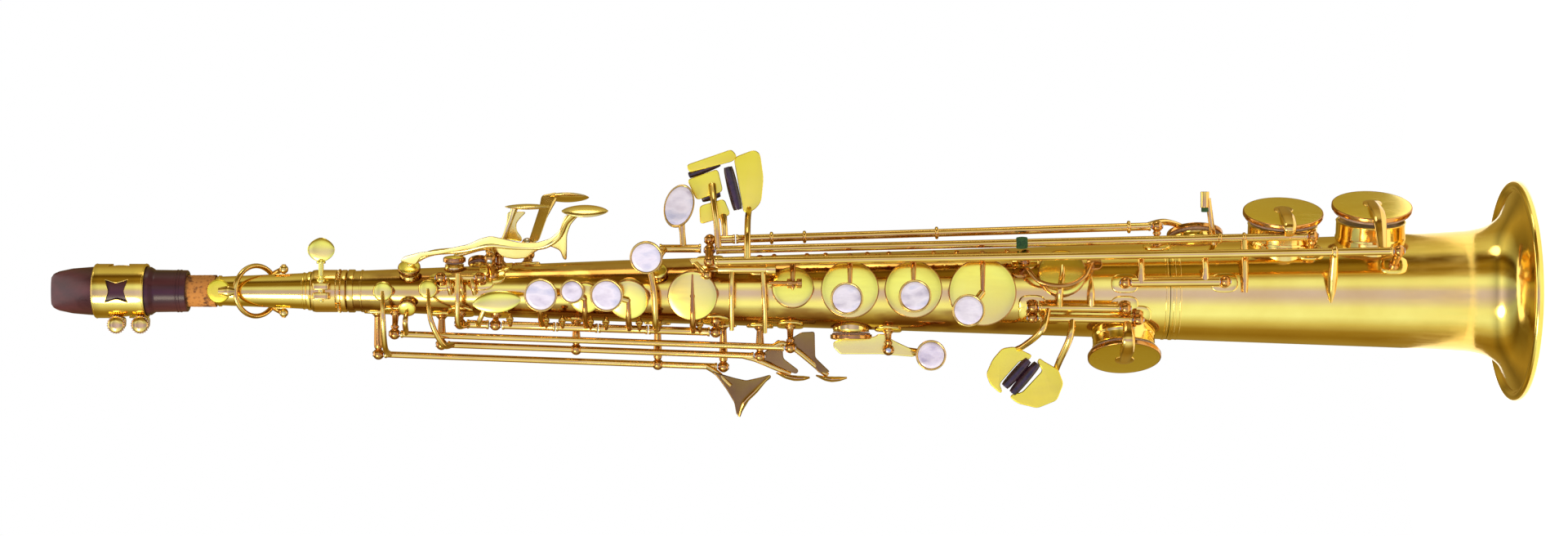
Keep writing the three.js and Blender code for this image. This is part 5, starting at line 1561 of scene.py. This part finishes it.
def window_outline(centre, half, waist, points=9):
    """A square opening whose sides bow inwards."""
    corners = [(-half, -half), (half, -half), (half, half), (-half, half)]
    out = []
    for (x0, y0), (x1, y1) in zip(corners, [*corners[1:], corners[0]]):
        for i in range(points):
            t = i / points
            x, y = x0 + (x1 - x0) * t, y0 + (y1 - y0) * t
            pull = 1 - waist * math.sin(math.pi * t)
            out.append((centre[0] + x * pull, centre[1] + y * pull))
    return out


def ligature_parts():
    radius, middle = LIGATURE_RADIUS, (LIGATURE_LOW + LIGATURE_TOP) / 2
    reach, tall = math.pi * radius - 1.6, (LIGATURE_TOP - LIGATURE_LOW) / 2
    outer = [(-reach, -tall), (reach, -tall), (reach, tall), (-reach, tall)]
    spots = [(0, 0.3), (-19, 0.3), (19, 0.3)]
    holes = [window_outline(spot, 5.2, 0.3) for spot in spots]
    band = sheet_with_holes(outer, holes, 0.9, 0.22)
    cuts = 90
    for i in range(1, cuts):
        x = -reach + 2 * reach * i / cuts
        everything = [*band.bm.verts, *band.bm.edges, *band.bm.faces]
        bmesh.ops.bisect_plane(band.bm, geom=everything, plane_co=(x, 0, 0), plane_no=(1, 0, 0))
    for vert in band.bm.verts:
        turn = vert.co.x / radius
        out = radius + vert.co.z
        vert.co = vec(out * math.sin(turn), -out * math.cos(turn), middle + vert.co.y)
    for edge, half in ((LIGATURE_LOW + 0.55, 0.55), (LIGATURE_TOP - 0.55, 0.55)):
        band.torus(vec(0, 0, edge), UPWARD, radius + 0.15, half * 0.8, 96, 12)
    for z in SCREW_HEIGHTS:
        for y in (-2.6, 1.4):
            band.plate([(-17.2, z - 2.8), (-11.9, z - 3), (-11.9, z + 3), (-17.2, z + 2.8)],
                       vec(0, y + 1, 0), FRONT_RIGHT, UPWARD, 2.0, 1.8, 0.3)
    make_piece("ligature_band", band, LACQUER, "mouthpiece", ["ligature"])

    for i, z in enumerate(SCREW_HEIGHTS):
        screw = Shape()
        screw.rod(vec(SCREW_X, -6, z), vec(SCREW_X, 4.4, z), 1.15)
        head = vec(SCREW_X, -4.4, z)
        profile = [(0, 0), (2.4, 0), (3.5, 0.6), (3.9, 1.4), (3.9, 2.6), (3.4, 3.4), (1.9, 4.0), (0, 4.15)]
        screw.turned(rounded(profile, 0.4, 3), head, FRONT, 40)
        ridges = 22
        for k in range(ridges):
            turn = 2 * math.pi * k / ridges
            side = vec(math.cos(turn) * 3.9, 0, math.sin(turn) * 3.9)
            screw.sweep([head + side + FRONT * 1.1, head + side + FRONT * 3.0], [0.32, 0.32], 8, 2)
        make_piece(f"ligature_screw_{i + 1}_knurled", screw, KEY_LACQUER, f"ligature_screw_{i + 1}",
                   [f"ligature_screw_{i + 1}"])


# ------------------------------------------------------------------ the whole saxophone


bpy.context.scene.view_settings.view_transform = "Standard"
studio_world()
studio_floor()
soft_light("key_light", (-1.2, -1.5, 1.2), (0, 0, 0.34), 0.8, 24, (1.0, 0.86, 0.66))
soft_light("fill_light", (1.4, -0.3, 0.5), (0, 0, 0.34), 0.5, 2.5, (1.0, 0.95, 0.9))
soft_light("top_light", (0.1, 0.3, 2.6), (0, 0, 0), 2.0, 22, (1.0, 0.99, 0.98))
camera()

body_parts()
bell_parts()
front_fittings()
receiver_parts()
neck_parts()
neck_octave()
mouthpiece_parts()
ligature_parts()
octave_mechanism()
thumb_fittings()
palm_keys()
left_hand()
g_sharp()
little_finger_table()
rollers()
right_hand()
right_little_finger()
side_keys()
high_f_sharp()
